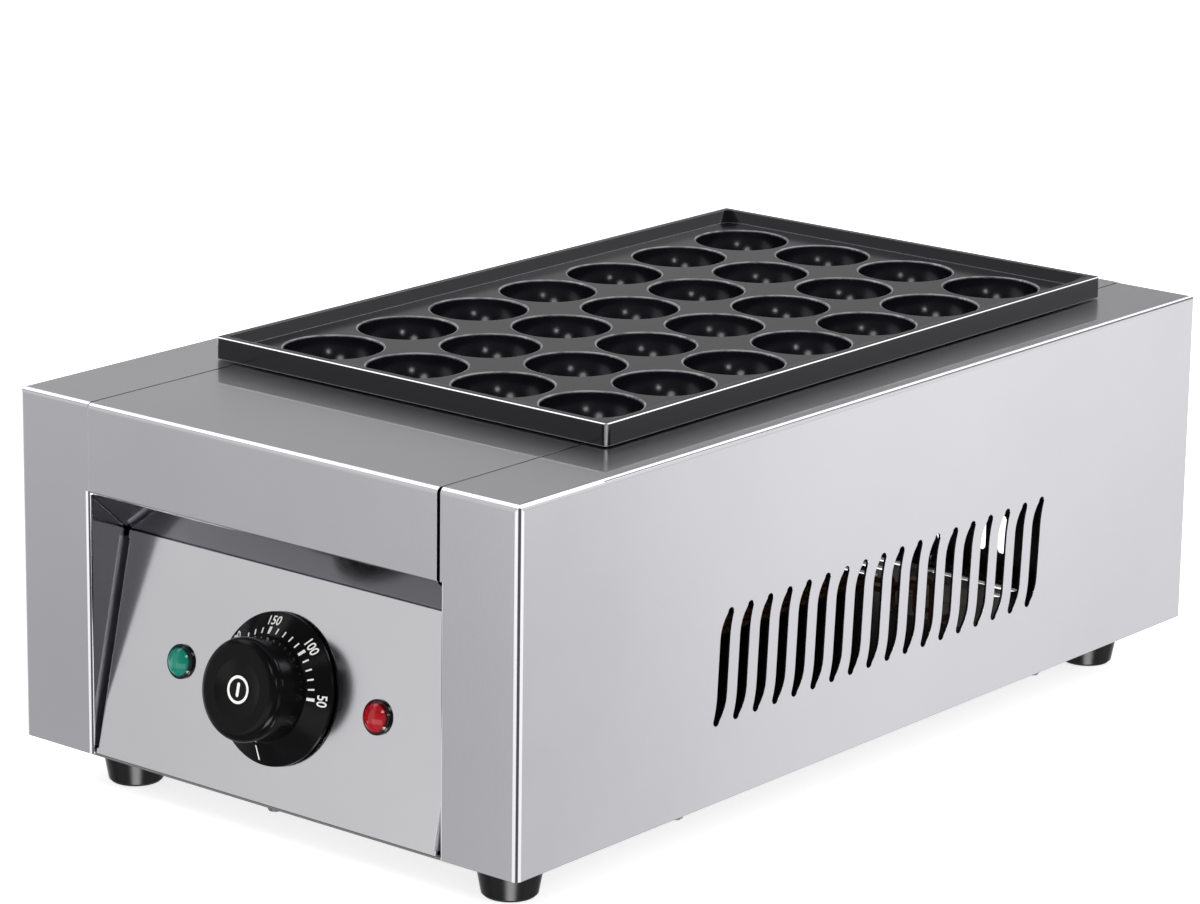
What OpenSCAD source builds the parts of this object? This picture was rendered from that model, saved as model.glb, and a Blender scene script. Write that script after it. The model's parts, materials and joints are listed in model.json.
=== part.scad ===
// Electric takoyaki maker: a cast plate of round cups stands on a folded stainless body.
// The front has a recess with a tilted control panel, one thermostat dial and two pilot lamps.
// X runs across the front, Y from front to back, Z up. All sizes are in millimetres.

/* [Body] */
// Width of the body across the side panels
body_w = 256; // [244:1:280]
// Length of the body from the front strips to the rear cover
body_l = 445; // [435:1:500]
// Height of the body without feet and mould plate
body_h = 142.5; // [136:0.5:170]
// Thickness of the stainless sheet
sheet = 1; // [0.8:0.1:1.2]
// Outer radius of the folded edges
bend_r = 2.4; // [2:0.1:4]
// Width of the strips that the side panels fold onto the top and the front
strip_w = 37.8; // [32:0.2:42]
// Gap at the seams between folded panels
seam = 0.9; // [0.3:0.1:1]
// Width of the inward flanges that take the screws
flange_w = 14; // [12:1:18]
// Width of the joggled laps under the covers
lap_w = 12; // [8:1:16]

/* [Control recess] */
// Height of the upright fascia above the recess
fascia_h = 35.5; // [30:0.5:40]
// How far the fascia stands proud of the side strips
fascia_proud = 0.8; // [0.5:0.1:1]
// Depth of the recess at its inner corner
recess_d = 20.2; // [14:0.2:26]
// Drop of the sloping band from the fascia to the inner corner
band_drop = 18.7; // [15:0.1:24]
// Length of the flange behind the top of the control panel
panel_lap = 10; // [6:1:14]
// Depth of the cheeks behind the control panel
cheek_lap = 10; // [6:1:16]
// Outer radius of the folds between the front strips and the cheeks
cheek_r = 1.8; // [1.3:0.1:2.4]
// Shadow gap between the control panel and the cheeks
panel_side_gap = 1.8; // [0.5:0.1:2.5]
// Gap between the top edge of the control panel and the sloping band
panel_top_gap = 0.6; // [0.2:0.1:1]
// Depth of the flanges folded in along the sides of the control panel
panel_flange = 7; // [4:0.5:9]
// Outer radius of the folds along the sides of the control panel
panel_r = 1.4; // [1:0.1:1.8]

/* [Louvres] */
// Number of louvre slots in each side panel
slot_n = 18; // [10:1:20]
// Width of a slot at its middle
slot_w = 6.2; // [5:0.2:7]
// Width of a slot at its tips
slot_tip_w = 3.8; // [2.6:0.2:4.4]
// Height of a slot from tip to tip
slot_h = 46.2; // [38:0.2:56]
// Distance from slot to slot
slot_pitch = 12.24; // [11:0.02:14]
// Height of each curved end
slot_bend_h = 10.2; // [8:0.2:13]
// Sideways offset of the tips
slot_offset = 2.7; // [1.8:0.1:4]
// Lean of a slot from upright
slot_lean = 3.3; // [0:0.1:6]
// Height of the slots' middle above the underside of the body
slot_z = 53.9; // [40:0.1:64]

/* [Mould plate] */
// Diameter of a cup
cup_d = 40; // [34:0.5:41]
// Wall under a cup
cup_wall = 3.5; // [2.5:0.1:4]
// Small radius on the edge of each cup
cup_edge_r = 0.8; // [0.4:0.1:1.2]
// Cups across the plate
cup_cols = 4; // [4:1:4]
// Distance between cups across the plate
pitch_x = 44.5; // [43:0.1:46]
// Distance between cups along the plate
pitch_y = 44.2; // [43:0.1:46]
// Distance from an outer cup's centre to the side of the rim
margin_x = 34; // [31:0.5:36]
// Least distance from an outer cup's centre to the end of the rim
margin_end = 31; // [30:0.5:34]
// Distance from the front strips to the plate
plate_front = 81.4; // [80:0.1:95]
// Distance from the plate to the back of the body
plate_back = 33.4; // [25:0.1:45]
// Outer height of the rim
rim_h = 9; // [7:0.1:14]
// Thickness of the rim at its top
rim_t = 3; // [2:0.1:4]
// How far the inner side of the rim slopes in
rim_slope = 3; // [1:0.1:4]
// Depth of the tray below the top of the rim
tray_d = 4.6; // [4:0.1:8]
// Radius of the rim's outer edges
rim_r = 1; // [0.6:0.1:1.2]
// Radius of the rim's upright corners
rim_corner_r = 2.4; // [1.4:0.1:3]
// Corner radius at the foot of the tray
tray_corner_r = 7; // [4:0.5:9]
// Shadow gap between the rim and the body
plate_gap = 0.7; // [0.6:0.1:3]
// Width of the rim that covers the edge of the body opening
rim_lap = 6.7; // [4:0.1:7]

/* [Dial] */
// Diameter of the dial skirt
dial_d = 59; // [54:1:64]
// Thickness of the skirt's edge
dial_edge = 1.5; // [1:0.1:2.5]
// Height of the skirt's cone
dial_rise = 5.2; // [4:0.1:8]
// Wall of the skirt
dial_wall = 1.6; // [1.2:0.1:2]
// Gap between the skirt and the panel
dial_gap = 0.8; // [0.6:0.1:2]
// Diameter of the round grip
grip_d = 40; // [34:1:44]
// Height of the grip above the skirt
grip_h = 15.8; // [12:0.1:22]
// Radius round the face of the grip
grip_round = 4.2; // [1.5:0.1:5]
// Wall of the grip
grip_wall = 2.5; // [2:0.1:3.5]
// Diameter of the dished middle of the face
dish_d = 23; // [16:0.5:26]
// Depth of the dish
dish_depth = 1.3; // [0.6:0.1:2]
// Diameter of the insert in the dish
cap_d = 12; // [8:0.5:14]
// Diameter of the thermostat shaft
shaft_d = 6; // [5:0.1:8]
// Radial clearance of the shaft in its bush
shaft_fit = 0.06; // [0.02:0.01:0.09]

/* [Lamps] */
// Distance between the two lamps
lamp_spacing = 102; // [92:1:120]
// Diameter of a lamp's bezel
lamp_d = 13.6; // [13.4:0.1:15]
// Diameter of a lamp's lens
lens_d = 12.2; // [11:0.1:12.4]
// Height of the domed lens
lens_h = 2.7; // [2:0.1:4]
// Diameter of the lamp's threaded body
lamp_body_d = 10; // [8:0.1:10.5]
// Length of the lamp's body behind the panel
lamp_body_l = 26; // [18:1:32]

/* [Base and feet] */
// Thickness of the base plate
base_t = 1.2; // [1:0.1:2]
// How far the base plate lies inside the body's outline
base_inset = 2.5; // [2:0.1:4]
// Height of a rubber foot
foot_h = 18.6; // [12:0.1:24]
// Diameter of a foot at its top
foot_top_d = 28.5; // [24:0.5:30]
// Diameter of a foot at its bottom
foot_bottom_d = 22; // [20:0.2:24]
// Distance from a foot's middle to the side of the body
foot_inset = 30; // [26:0.5:36]
// Distance from the front feet's middle to the front of the body
foot_front = 31.5; // [26:0.5:36]
// Distance from the back feet's middle to the back of the body
foot_back = 28.5; // [26:0.5:36]
// Half the distance between the side screws of the base
base_screw_y = 120; // [90:1:140]
// Diameter of the small screws
screw_d = 4; // [3:0.1:5]
// Diameter of the small screws' heads
head_d = 8; // [7:0.1:8.6]
// Height of the small screws' heads
head_h = 2.6; // [2:0.1:3]

/* [Heating] */
// Diameter of the tubular heaters
heater_d = 8; // [6.5:0.1:8.5]
// Gap between the cups and the heaters
heater_gap = 0.3; // [0.1:0.1:1]
// Thickness of the clamp bars
bar_t = 3; // [2:0.1:4]
// Thickness of the heat shield's sheet
shield_t = 0.8; // [0.6:0.1:1]
// Diameter of the plate's studs
stud_d = 6; // [5:0.1:6.5]
// Diameter of the cast bosses that hold the studs
boss_d = 12; // [10:0.5:13]
// Diameter of the sensing bulb
bulb_d = 6; // [4:0.1:6.4]
// Length of the sensing bulb
bulb_l = 76; // [60:1:110]

/* [Cable inlet] */
// Bore of the cable gland
gland_bore_d = 9; // [6:0.1:10]
// How far the gland stands out of the rear cover
gland_out = 17; // [12:1:22]
// Distance of the gland from the right side of the body
gland_inset = 44; // [38:1:60]
// Height of the gland above the underside of the body
gland_z = 30; // [24:1:45]

/* [Hidden] */
$fn = 96;
clear = 0.3;
hole_gap = 0.3;
cut = 1;

// Body frame: the front strips lie at y = 0 and the underside of the body at z = 0.
side_l = body_l - sheet;
seam_x = body_w / 2 - strip_w;
cover_x = seam_x - seam;
panel_x = seam_x - panel_side_gap;
bend_relief = 3;
bore_d = screw_d + 2 * hole_gap;
foot_reach = base_t + foot_h;
foot_web = 5;

// Recess: the lip under the fascia, the inner corner and the tilt of the control panel.
lip_z = body_h - fascia_h;
corner_z = lip_z - band_drop;
panel_tilt = atan(recess_d / corner_z);
panel_len = sqrt(pow(recess_d, 2) + pow(corner_z, 2));
band_slope = atan2(band_drop, recess_d + fascia_proud);
panel_up = [sin(panel_tilt), cos(panel_tilt)];
panel_in = [cos(panel_tilt), -sin(panel_tilt)];
band_dir = [cos(band_slope), -sin(band_slope)];
band_in = [sin(band_slope), cos(band_slope)];

// Mould plate and the opening under it.
plate_w = (cup_cols - 1) * pitch_x + 2 * margin_x;
plate_y0 = plate_front;
plate_y1 = body_l - plate_back;
plate_l = plate_y1 - plate_y0;
cup_rows = floor((plate_l - 2 * margin_end) / pitch_y) + 1;
plate_y = (plate_y0 + plate_y1) / 2;
plate_z = body_h + plate_gap;
plate_top = plate_z + rim_h;
floor_z = plate_top - tray_d;
open_x = plate_w / 2 - rim_lap;
open_y0 = plate_y0 + rim_lap;
open_y1 = plate_y1 - rim_lap;
cup_r = cup_d / 2;
bulge_r = cup_r + cup_wall;
col_x = [for (i = [0 : cup_cols - 1]) (i - (cup_cols - 1) / 2) * pitch_x];
row_y = [for (i = [0 : cup_rows - 1]) plate_y + (i - (cup_rows - 1) / 2) * pitch_y];

// Heating space, from the cups down.
heater_r = heater_d / 2;
heater_z = floor_z - bulge_r - heater_gap - heater_r;
boss_z = floor_z - bulge_r - heater_gap;
bar_z = heater_z - heater_r - bar_t;
nut_h = stud_d * 0.8;
nut_w = stud_d * 1.9;
stud_seat = 16;
stud_bore_d = stud_d + 2 * hole_gap;
shield_z = bar_z - nut_h - clear - 4;
shield_x = open_x + 1 + shield_t;
shield_y0 = open_y0 - 1 - shield_t;
shield_y1 = open_y1 + 1 + shield_t;
bracket_h = 14;
bracket_w = 22;
bracket_t = 1.5;
bracket_rise = 16;
stud_x = [-pitch_x, pitch_x];
bracket_y = [row_y[0] + pitch_y / 2, row_y[cup_rows - 1] - pitch_y / 2];
bar_y = [row_y[1] + pitch_y / 2, row_y[cup_rows - 2] - pitch_y / 2];
leg_front_y = shield_y0 - 12;
pin_l = 9;
bulb_z = floor_z - bulge_r + 7;
bulb_y = bar_y[0] - bulb_l / 2 + 10;

// Dial and thermostat.
knob_s = panel_len / 2;
skirt_top = dial_gap + dial_edge + dial_rise;
face_h = skirt_top + grip_h;
hub_r = shaft_d / 2 + 3;
bore_h = face_h - grip_wall - dish_depth;
thermostat_t = 24;
thermostat_w = 40;
thermostat_h = 34;
thermostat_pitch = 28;
mount_t = 1.2;
lamp_x = lamp_spacing / 2;
bezel_h = 1.2;

// Spade tabs of the thermostat and the lamps, in the panel's frame.
tab_w = 6.3;
tab_t = 0.8;
tab_l = 8;
tab_x = [-12, 0, 12];
tab_y = -10;
tab_z = -sheet - mount_t - thermostat_t - tab_l;
lamp_tab_x = 2.6;
lamp_tab_w = 2.8;
sleeve_l = 12;
lead_r = 1.1;
turn_r = 3;

// Reach of the dial in front of the body and of the gland behind it.
round_r = grip_round;
knob_front = (face_h - round_r) * cos(panel_tilt) + (grip_d / 2 - round_r) * sin(panel_tilt) + round_r
  - knob_s * sin(panel_tilt);
origin_y = (body_l + gland_out - knob_front) / 2;

// Gland, terminal block near it, and the hole for the leads through the bulkhead.
gland_x = body_w / 2 - gland_inset;
block_x = near(gland_x - 34);
block_y = near(body_l - 70);
lead_hole_x = near(block_x - 20);
lead_hole_z = 21;

// Vent slots of the base plate and of the rear cover.
vent_w = 5;
vent_r = vent_w / 2 - 0.01;
vent_pitch = 11;
vent_y = [body_l * 0.3, body_l - 30];
vent_z = [9, 27];

// Screws.
base_front_y = flange_w / 2 + 1.5;
base_side_x = body_w / 2 - flange_w / 2 - 1;
base_mid_y = body_l / 2;
base_points = [
  [0, base_front_y], [0, body_l - base_front_y],
  for (x = [-1, 1], y = [-1, 1]) [x * base_side_x, base_mid_y + y * base_screw_y]
];
foot_points = [
  for (y = [foot_front, body_l - foot_back], x = [-1, 1]) [x * (body_w / 2 - foot_inset), y]
];
back_points = [for (x = [-1, 1], z = [0.17, 0.5, 0.83]) [x * base_side_x, z * body_h]];

// ---------------------------------------------------------------- helpers

// Moves the body frame to the origin on the table, under the middle of the outline.
module place() {
  translate([0, -origin_y, foot_reach]) children();
}

// Stands its children on the control panel, z out of the panel, at x and at s up the panel.
module on_panel(x, s) {
  rotate([90 - panel_tilt, 0, 0]) translate([x, s, 0]) children();
}

// Extrudes an outline given in Y and Z along X from x0 to x1.
module along_x(x0, x1) {
  translate([x0, 0, 0]) rotate([90, 0, 90]) linear_extrude(x1 - x0) children();
}

// Extrudes an outline given in X and Z along Y from y0 to y1.
module along_y(y0, y1) {
  translate([0, y1, 0]) rotate([90, 0, 0]) linear_extrude(y1 - y0) children();
}

// Rectangle from [x0, y0] to [x1, y1] with corners of radius r.
module round_rect(x0, y0, x1, y1, r) {
  translate([x0 + r, y0]) square([x1 - x0 - 2 * r, y1 - y0]);
  translate([x0, y0 + r]) square([x1 - x0, y1 - y0 - 2 * r]);
  for (x = [x0 + r, x1 - r], y = [y0 + r, y1 - r]) translate([x, y]) circle(r);
}

// Block with top edges of radius r and upright edges of radius rc; its bottom edges stay sharp.
module folded_block(x1, y0, y1, z0, z1, r, rc = 0) {
  intersection() {
    translate([0, 0, z0]) linear_extrude(z1 - z0) round_rect(-x1, y0, x1, y1, max(r, rc));
    along_y(y0, y1) {
      round_rect(-x1, z0, x1, z1, r);
      translate([-x1, z0]) square([2 * x1, z1 - z0 - 2 * r]);
    }
    along_x(-x1, x1) {
      round_rect(y0, z0, y1, z1, r);
      translate([y0, z0]) square([y1 - y0, z1 - z0 - 2 * r]);
    }
  }
}

// One straight leg of a sheet outline: from p to q, with its thickness on the left.
module leg(p, q, t = sheet) {
  d = q - p;
  translate(p) rotate(atan2(d[1], d[0])) square([norm(d), t]);
}

// Pie of radius r round p, from angle a0 to angle a1, for a fold in a sheet outline.
// It reaches one degree into the legs on both sides.
module fold(p, r, a0, a1) {
  way = a1 > a0 ? 1 : -1;
  start = a0 - way;
  step = (a1 - a0 + 2 * way) / 4;
  translate(p) intersection() {
    circle(r);
    polygon([[0, 0], for (k = [0 : 4]) 2 * r * [cos(start + step * k), sin(start + step * k)]]);
  }
}

// Ring fold of outer radius r and one sheet thickness, for the wide folds.
module wide_fold(p, r, a0, a1) {
  difference() {
    fold(p, r, a0, a1);
    translate(p) circle(r - sheet);
  }
}

// Direction of the straight run that leaves point i of a wire.
function run_dir(points, i) = (points[i + 1] - points[i]) / norm(points[i + 1] - points[i]);

// Rounds a position of a wire to a hundredth.
function near(v) = round(v * 100) / 100;

// Puts its children at p with their axes along u, v and w.
module in_frame(p, u, v, w) {
  multmatrix([
    [u[0], v[0], w[0], p[0]], [u[1], v[1], w[1], p[1]], [u[2], v[2], w[2], p[2]], [0, 0, 0, 1]
  ]) children();
}

// Round wire of radius r through a list of points, with square turns of radius turn_r.
module wire(points, r, turn_r) {
  last = len(points) - 1;
  for (i = [0 : last - 1]) {
    w = run_dir(points, i);
    a = points[i] + (i == 0 ? 0 : turn_r) * w;
    b = points[i + 1] - (i == last - 1 ? 0 : turn_r) * w;
    u = abs(w[2]) > 0.5 ? [1, 0, 0] : [0, 0, 1];
    in_frame(a, u, cross(w, u), w) cylinder(norm(b - a), r = r);
  }
  for (i = [1 : last - 1]) {
    a = run_dir(points, i - 1);
    b = run_dir(points, i);
    c = points[i] - turn_r * a + turn_r * b;
    in_frame(c, -b, a, cross(-b, a)) rotate_extrude(angle = 90) translate([turn_r, 0]) circle(r);
  }
}

// Pan-head screw: the head lies above z = 0, the shank goes down.
module pan_screw(d, head, h, l) {
  translate([0, 0, -l]) cylinder(l, d = d);
  difference() {
    cylinder(h, d1 = head, d2 = head * 0.72);
    translate([-head / 2, -0.5, h - 0.9]) cube([head, 1, cut + 1]);
  }
}

// Hexagon nut on z = 0 with a round hole.
module hex_nut(w, h, hole) {
  difference() {
    cylinder(h, d = w / cos(30), $fn = 6);
    translate([0, 0, -cut]) cylinder(h + 2 * cut, d = hole);
  }
}

// ---------------------------------------------------------------- body

// Edge of one end of a louvre: leaves x = side upright and bends to lie at x = side + shift at its top.
function tip_edge(side, shift) = let (r = (pow(slot_bend_h, 2) + pow(shift, 2)) / (2 * shift))
  [for (k = [0 : 4]) let (a = asin(slot_bend_h / r) * k / 4) [side + r - r * cos(a), r * sin(a)]];

// Outline of one louvre: a straight middle and two round tips that bend opposite ways.
module louvre() {
  straight = slot_h / 2 - slot_bend_h - slot_tip_w / 2;
  near_edge = tip_edge(-slot_w / 2, slot_offset + slot_w / 2 - slot_tip_w / 2);
  far_edge = tip_edge(slot_w / 2, slot_offset - slot_w / 2 + slot_tip_w / 2);
  end = concat(
    near_edge,
    [for (a = [30 : 30 : 150]) [slot_offset, slot_bend_h] + slot_tip_w / 2 * [-cos(a), sin(a)]],
    [for (k = [4 : -1 : 0]) far_edge[k]]
  );
  rotate(-slot_lean) polygon(concat([for (p = end) p + [0, straight]], [for (p = end) -p - [0, straight]]));
}

// Cheek beside the recess: folded back from the front strip, with a thickened root for the round fold.
module cheek() {
  along_x(seam_x, seam_x + sheet) polygon([
    [sheet / 2, 0], [cheek_lap, 0], [recess_d + cheek_lap, corner_z],
    [recess_d + cheek_lap, lip_z + cheek_lap], [sheet / 2, lip_z + cheek_lap]
  ]);
  linear_extrude(lip_z) difference() {
    translate([seam_x + sheet / 2, sheet / 2]) square(cheek_r - sheet / 2);
    translate([seam_x + cheek_r, cheek_r]) circle(cheek_r - sheet);
  }
}

// Right side panel: side wall, top strip, front strip, cheek, laps and screw flanges.
module side_panel() {
  slot_y0 = body_l / 2 + 2 - (slot_n - 1) / 2 * slot_pitch;
  difference() {
    union() {
      difference() {
        folded_block(body_w / 2, 0, side_l, 0, body_h, bend_r);
        folded_block(body_w / 2 - sheet, sheet, side_l - sheet, sheet, body_h - sheet, bend_r - sheet);
        translate([-body_w, -cut, -cut]) cube([body_w + seam_x, body_l + 2 * cut, body_h + 2 * cut]);
        translate([0, sheet, -cut]) cube([body_w / 2 - flange_w, side_l, sheet + cut]);
        translate([0, side_l - 2 * sheet, -cut])
          cube([body_w / 2 - flange_w, body_l, body_h - sheet - bend_r]);
      }
      cheek();
      for (y = [[bend_r + sheet, open_y0 - 4], [open_y1 + 4, side_l - bend_r - sheet]])
        translate([seam_x - lap_w, y[0], body_h - 2 * sheet]) cube([lap_w + 2 * sheet, y[1] - y[0], sheet]);
    }
    translate([-open_x, open_y0, body_h - 3 * sheet]) cube([2 * open_x, open_y1 - open_y0, 4 * sheet]);
    translate([seam_x + cheek_r, cheek_r, -cut]) linear_extrude(lip_z + cut) difference() {
      translate([-2 * cheek_r, -2 * cheek_r]) square(2 * cheek_r);
      circle(cheek_r);
    }
    for (i = [0 : slot_n - 1])
      along_x(body_w / 2 - sheet - cut, body_w / 2 + cut)
        translate([slot_y0 + i * slot_pitch, slot_z]) louvre();
    for (p = base_points) translate([p[0], p[1], -cut]) cylinder(sheet + 2 * cut, d = bore_d);
    for (p = back_points)
      translate([p[0], side_l + cut, p[1]]) rotate([90, 0, 0])
        cylinder(sheet + 2 * cut, d = bore_d);
  }
}

module left_side_panel() {
  color("silver") place() mirror([1, 0, 0]) side_panel();
}

module right_side_panel() {
  color("silver") place() side_panel();
}

// Front cover: top strip, wide fold, upright fascia, sloping band and the flange behind the panel.
module front_cover() {
  lip_step = sheet * (1 - sin(band_slope)) / cos(band_slope);
  lip = [sheet - fascia_proud, lip_z + lip_step];
  corner = [recess_d, corner_z] + sheet / cos(band_slope - panel_tilt) * band_dir;
  band_start = lip - sheet * band_in;
  fold_c = [bend_r - fascia_proud, body_h - bend_r];
  color("silver") place() along_x(-cover_x, cover_x) {
    leg([fold_c[0], body_h - sheet], [open_y0, body_h - sheet]);
    wide_fold(fold_c, bend_r, 90, 180);
    leg([sheet - fascia_proud, lip[1]], [sheet - fascia_proud, fold_c[1]]);
    fold(lip, sheet, 180, 270 - band_slope);
    leg(band_start, corner);
    fold(corner, sheet, 90 - band_slope, -panel_tilt);
  }
  color("silver") place() along_x(-panel_x + 2 * sheet, panel_x - 2 * sheet)
    leg(corner - panel_lap * panel_up + sheet * panel_in, corner + sheet * panel_in);
}

// Control panel: tilted sheet with its bottom and side flanges and the holes for dial, lamps and thermostat.
module control_panel() {
  foot_s = sheet * (1 + sin(panel_tilt)) / cos(panel_tilt);
  top_s = panel_len - panel_top_gap;
  heel = sheet * panel_in + foot_s * panel_up;
  top = top_s * panel_up + sheet * panel_in;
  slide = sheet * tan(band_slope - panel_tilt);
  color("silver") place() difference() {
    union() {
      along_x(-panel_x, panel_x) {
        difference() {
          leg(heel, top + sheet * panel_up);
          translate(top_s * panel_up) rotate(-band_slope) translate([-5, 0]) square([10, 5 + slide]);
        }
        fold(heel, sheet, 180 - panel_tilt, 270);
        translate([heel[0], 0]) square([flange_w - heel[0], sheet]);
      }
      for (m = [0, 1]) mirror([m, 0, 0]) on_panel(panel_x - sheet, bend_relief)
        translate([0, 0, -panel_flange]) cube([sheet, top_s - 2 * bend_relief, panel_flange - sheet / 2]);
    }
    for (m = [0, 1]) mirror([m, 0, 0]) on_panel(panel_x - panel_r, bend_relief)
      translate([0, 0, -panel_r]) rotate([-90, 0, 0]) linear_extrude(top_s - 2 * bend_relief) difference() {
        translate([0, -panel_r - cut]) square(panel_r + cut);
        circle(panel_r);
      }
    on_panel(0, knob_s) {
      translate([0, 0, -4]) cylinder(8, d = shaft_d + 4);
      for (x = [-1, 1]) translate([x * thermostat_pitch / 2, 0, -4]) cylinder(8, d = bore_d);
    }
    for (x = [-lamp_x, lamp_x]) on_panel(x, knob_s) translate([0, 0, -4]) cylinder(8, d = lamp_body_d + 0.4);
    translate([0, base_front_y, -cut]) cylinder(sheet + 2 * cut, d = bore_d);
  }
}

// Rear cover: back wall over the flanges, wide fold, top strip behind the plate, bottom flange.
module rear_cover() {
  fold_c = [body_l - bend_r, body_h - bend_r];
  color("silver") place() difference() {
    union() {
      along_x(-cover_x, cover_x) {
        leg([open_y1, body_h - sheet], [fold_c[0], body_h - sheet]);
        wide_fold(fold_c, bend_r, 0, 90);
        translate([side_l, 0]) square([sheet, fold_c[1]]);
        translate([body_l - flange_w, 0]) square([flange_w, sheet]);
      }
      translate([-body_w / 2 + 2, side_l, 2]) cube([body_w - 4, sheet, body_h - 2 - bend_r - 2]);
    }
    for (p = back_points)
      translate([p[0], body_l + cut, p[1]]) rotate([90, 0, 0])
        cylinder(sheet + 2 * cut, d = bore_d);
    translate([gland_x, body_l + cut, gland_z]) rotate([90, 0, 0])
      cylinder(sheet + 2 * cut, d = gland_bore_d + 7);
    along_y(side_l - cut, body_l + cut) for (i = [-3 : 3])
      translate([i * vent_pitch, 0]) round_rect(-vent_w / 2, vent_z[0], vent_w / 2, vent_z[1], vent_r);
    translate([0, body_l - base_front_y, -cut]) cylinder(sheet + 2 * cut, d = bore_d);
  }
}

// Base plate with two fields of vent slots.
module base_plate() {
  x1 = body_w / 2 - base_inset;
  color("gray") place() translate([0, 0, -base_t]) difference() {
    linear_extrude(base_t) difference() {
      round_rect(-x1, base_inset, x1, body_l - base_inset, 3);
      for (y = vent_y, i = [-1 : 1], s = [-1, 1])
        translate([s * 30, y + i * vent_pitch]) round_rect(-24, -vent_w / 2, 24, vent_w / 2, vent_r);
    }
    for (p = base_points) translate([p[0], p[1], -cut]) cylinder(base_t + 2 * cut, d = bore_d);
    for (p = foot_points) translate([p[0], p[1], -cut]) cylinder(base_t + 2 * cut, d = bore_d);
  }
}

// ---------------------------------------------------------------- mould plate

// Thin slab of the tapered tray at height z, inset by s from the top of the rim's inner edge.
module tray_slab(z, s, r) {
  x1 = plate_w / 2 - rim_t - s;
  y1 = plate_l / 2 - rim_t - s;
  translate([0, 0, z]) linear_extrude(0.01) round_rect(-x1, -y1, x1, y1, r);
}

// Cutter for the small radius on a cup's edge, with z = 0 on the tray floor.
module cup_edge() {
  rotate_extrude() difference() {
    translate([cup_r - 0.1, -cup_edge_r]) square([cup_edge_r + 0.1, cup_edge_r + 0.1]);
    translate([cup_r + cup_edge_r, -cup_edge_r]) circle(cup_edge_r);
  }
}

module mould_plate() {
  color("dimgray") place() difference() {
    union() {
      difference() {
        folded_block(plate_w / 2, plate_y0, plate_y1, plate_z, plate_top, rim_r, rim_corner_r);
        translate([0, plate_y, 0]) hull() {
          tray_slab(floor_z, rim_slope, tray_corner_r, $fn = 32);
          tray_slab(plate_top + 0.1, 0, 3, $fn = 32);
        }
      }
      difference() {
        for (x = col_x, y = row_y) translate([x, y, floor_z]) sphere(bulge_r);
        translate([-body_w, 0, plate_z + 0.5]) cube([2 * body_w, body_l, bulge_r * 2]);
      }
      for (x = stud_x, y = concat(bracket_y, bar_y))
        translate([x, y, boss_z]) cylinder(plate_z + 0.5 - boss_z, d = boss_d);
    }
    for (x = col_x, y = row_y) translate([x, y, floor_z]) {
      sphere(cup_r);
      cup_edge();
    }
    for (x = stud_x, y = concat(bracket_y, bar_y))
      translate([x, y, boss_z - cut]) cylinder(stud_seat + cut, d = stud_d);
  }
}

// Stud from z0 up into its cast boss.
module stud(x, y, z0) {
  translate([x, y, z0]) cylinder(boss_z + stud_seat - z0, d = stud_d);
}

module plate_studs() {
  color("darkgray") place() {
    for (x = stud_x, y = bar_y) stud(x, y, bar_z - nut_h - 1);
    for (x = stud_x, y = bracket_y) stud(x, y, shield_z - shield_t - bracket_t - nut_h - 2);
  }
}

module plate_nuts() {
  color("darkgray") place() {
    for (x = stud_x, y = bar_y) translate([x, y, bar_z - nut_h]) hex_nut(nut_w, nut_h, stud_d);
    for (x = stud_x, y = bracket_y) {
      translate([x, y, shield_z - shield_t - bracket_t - nut_h]) hex_nut(nut_w, nut_h, stud_d);
      translate([x, y, shield_z]) hex_nut(nut_w, nut_h, stud_d);
    }
  }
}

// Channel between the side panels that carries the plate's studs and the heat shield.
module bracket(y) {
  x1 = body_w / 2 - sheet;
  top = shield_z - shield_t;
  translate([0, y, top]) difference() {
    union() {
      translate([-x1, -bracket_w / 2, -bracket_t]) cube([2 * x1, bracket_w, bracket_t]);
      for (s = [-1, 1])
        translate([-x1, s * (bracket_w / 2 - bracket_t / 2) - bracket_t / 2, -bracket_h])
          cube([2 * x1, bracket_t, bracket_h]);
      for (s = [-1, 1])
        translate([s * (x1 - bracket_t / 2) - bracket_t / 2, -bracket_w / 2, -bracket_h])
          cube([bracket_t, bracket_w, bracket_h + bracket_rise]);
    }
    for (x = stud_x) translate([x, 0, -bracket_t - cut]) cylinder(bracket_t + 2 * cut, d = stud_bore_d);
  }
}

module front_bracket() {
  color("gray") place() bracket(bracket_y[0]);
}

module rear_bracket() {
  color("gray") place() bracket(bracket_y[1]);
}

// Open tray of coated sheet round the heating space, hung under the edge of the body opening.
module heat_shield() {
  top = body_h - sheet;
  bottom = shield_z - shield_t;
  color("lightgray") place() difference() {
    translate([-shield_x, shield_y0, bottom]) cube([2 * shield_x, shield_y1 - shield_y0, top - bottom]);
    translate([-shield_x + shield_t, shield_y0 + shield_t, shield_z])
      cube([2 * (shield_x - shield_t), shield_y1 - shield_y0 - 2 * shield_t, top]);
    for (x = col_x)
      translate([x, shield_y0 - cut, heater_z]) rotate([-90, 0, 0])
        cylinder(shield_t + 2 * cut, d = heater_d + 1);
    translate([0, shield_y0 - cut, bulb_z]) rotate([-90, 0, 0]) cylinder(shield_t + 2 * cut, d = 4);
    for (x = stud_x, y = bracket_y)
      translate([x, y, bottom - cut]) cylinder(shield_t + 2 * cut, d = stud_bore_d);
  }
}

// ---------------------------------------------------------------- heating

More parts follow.
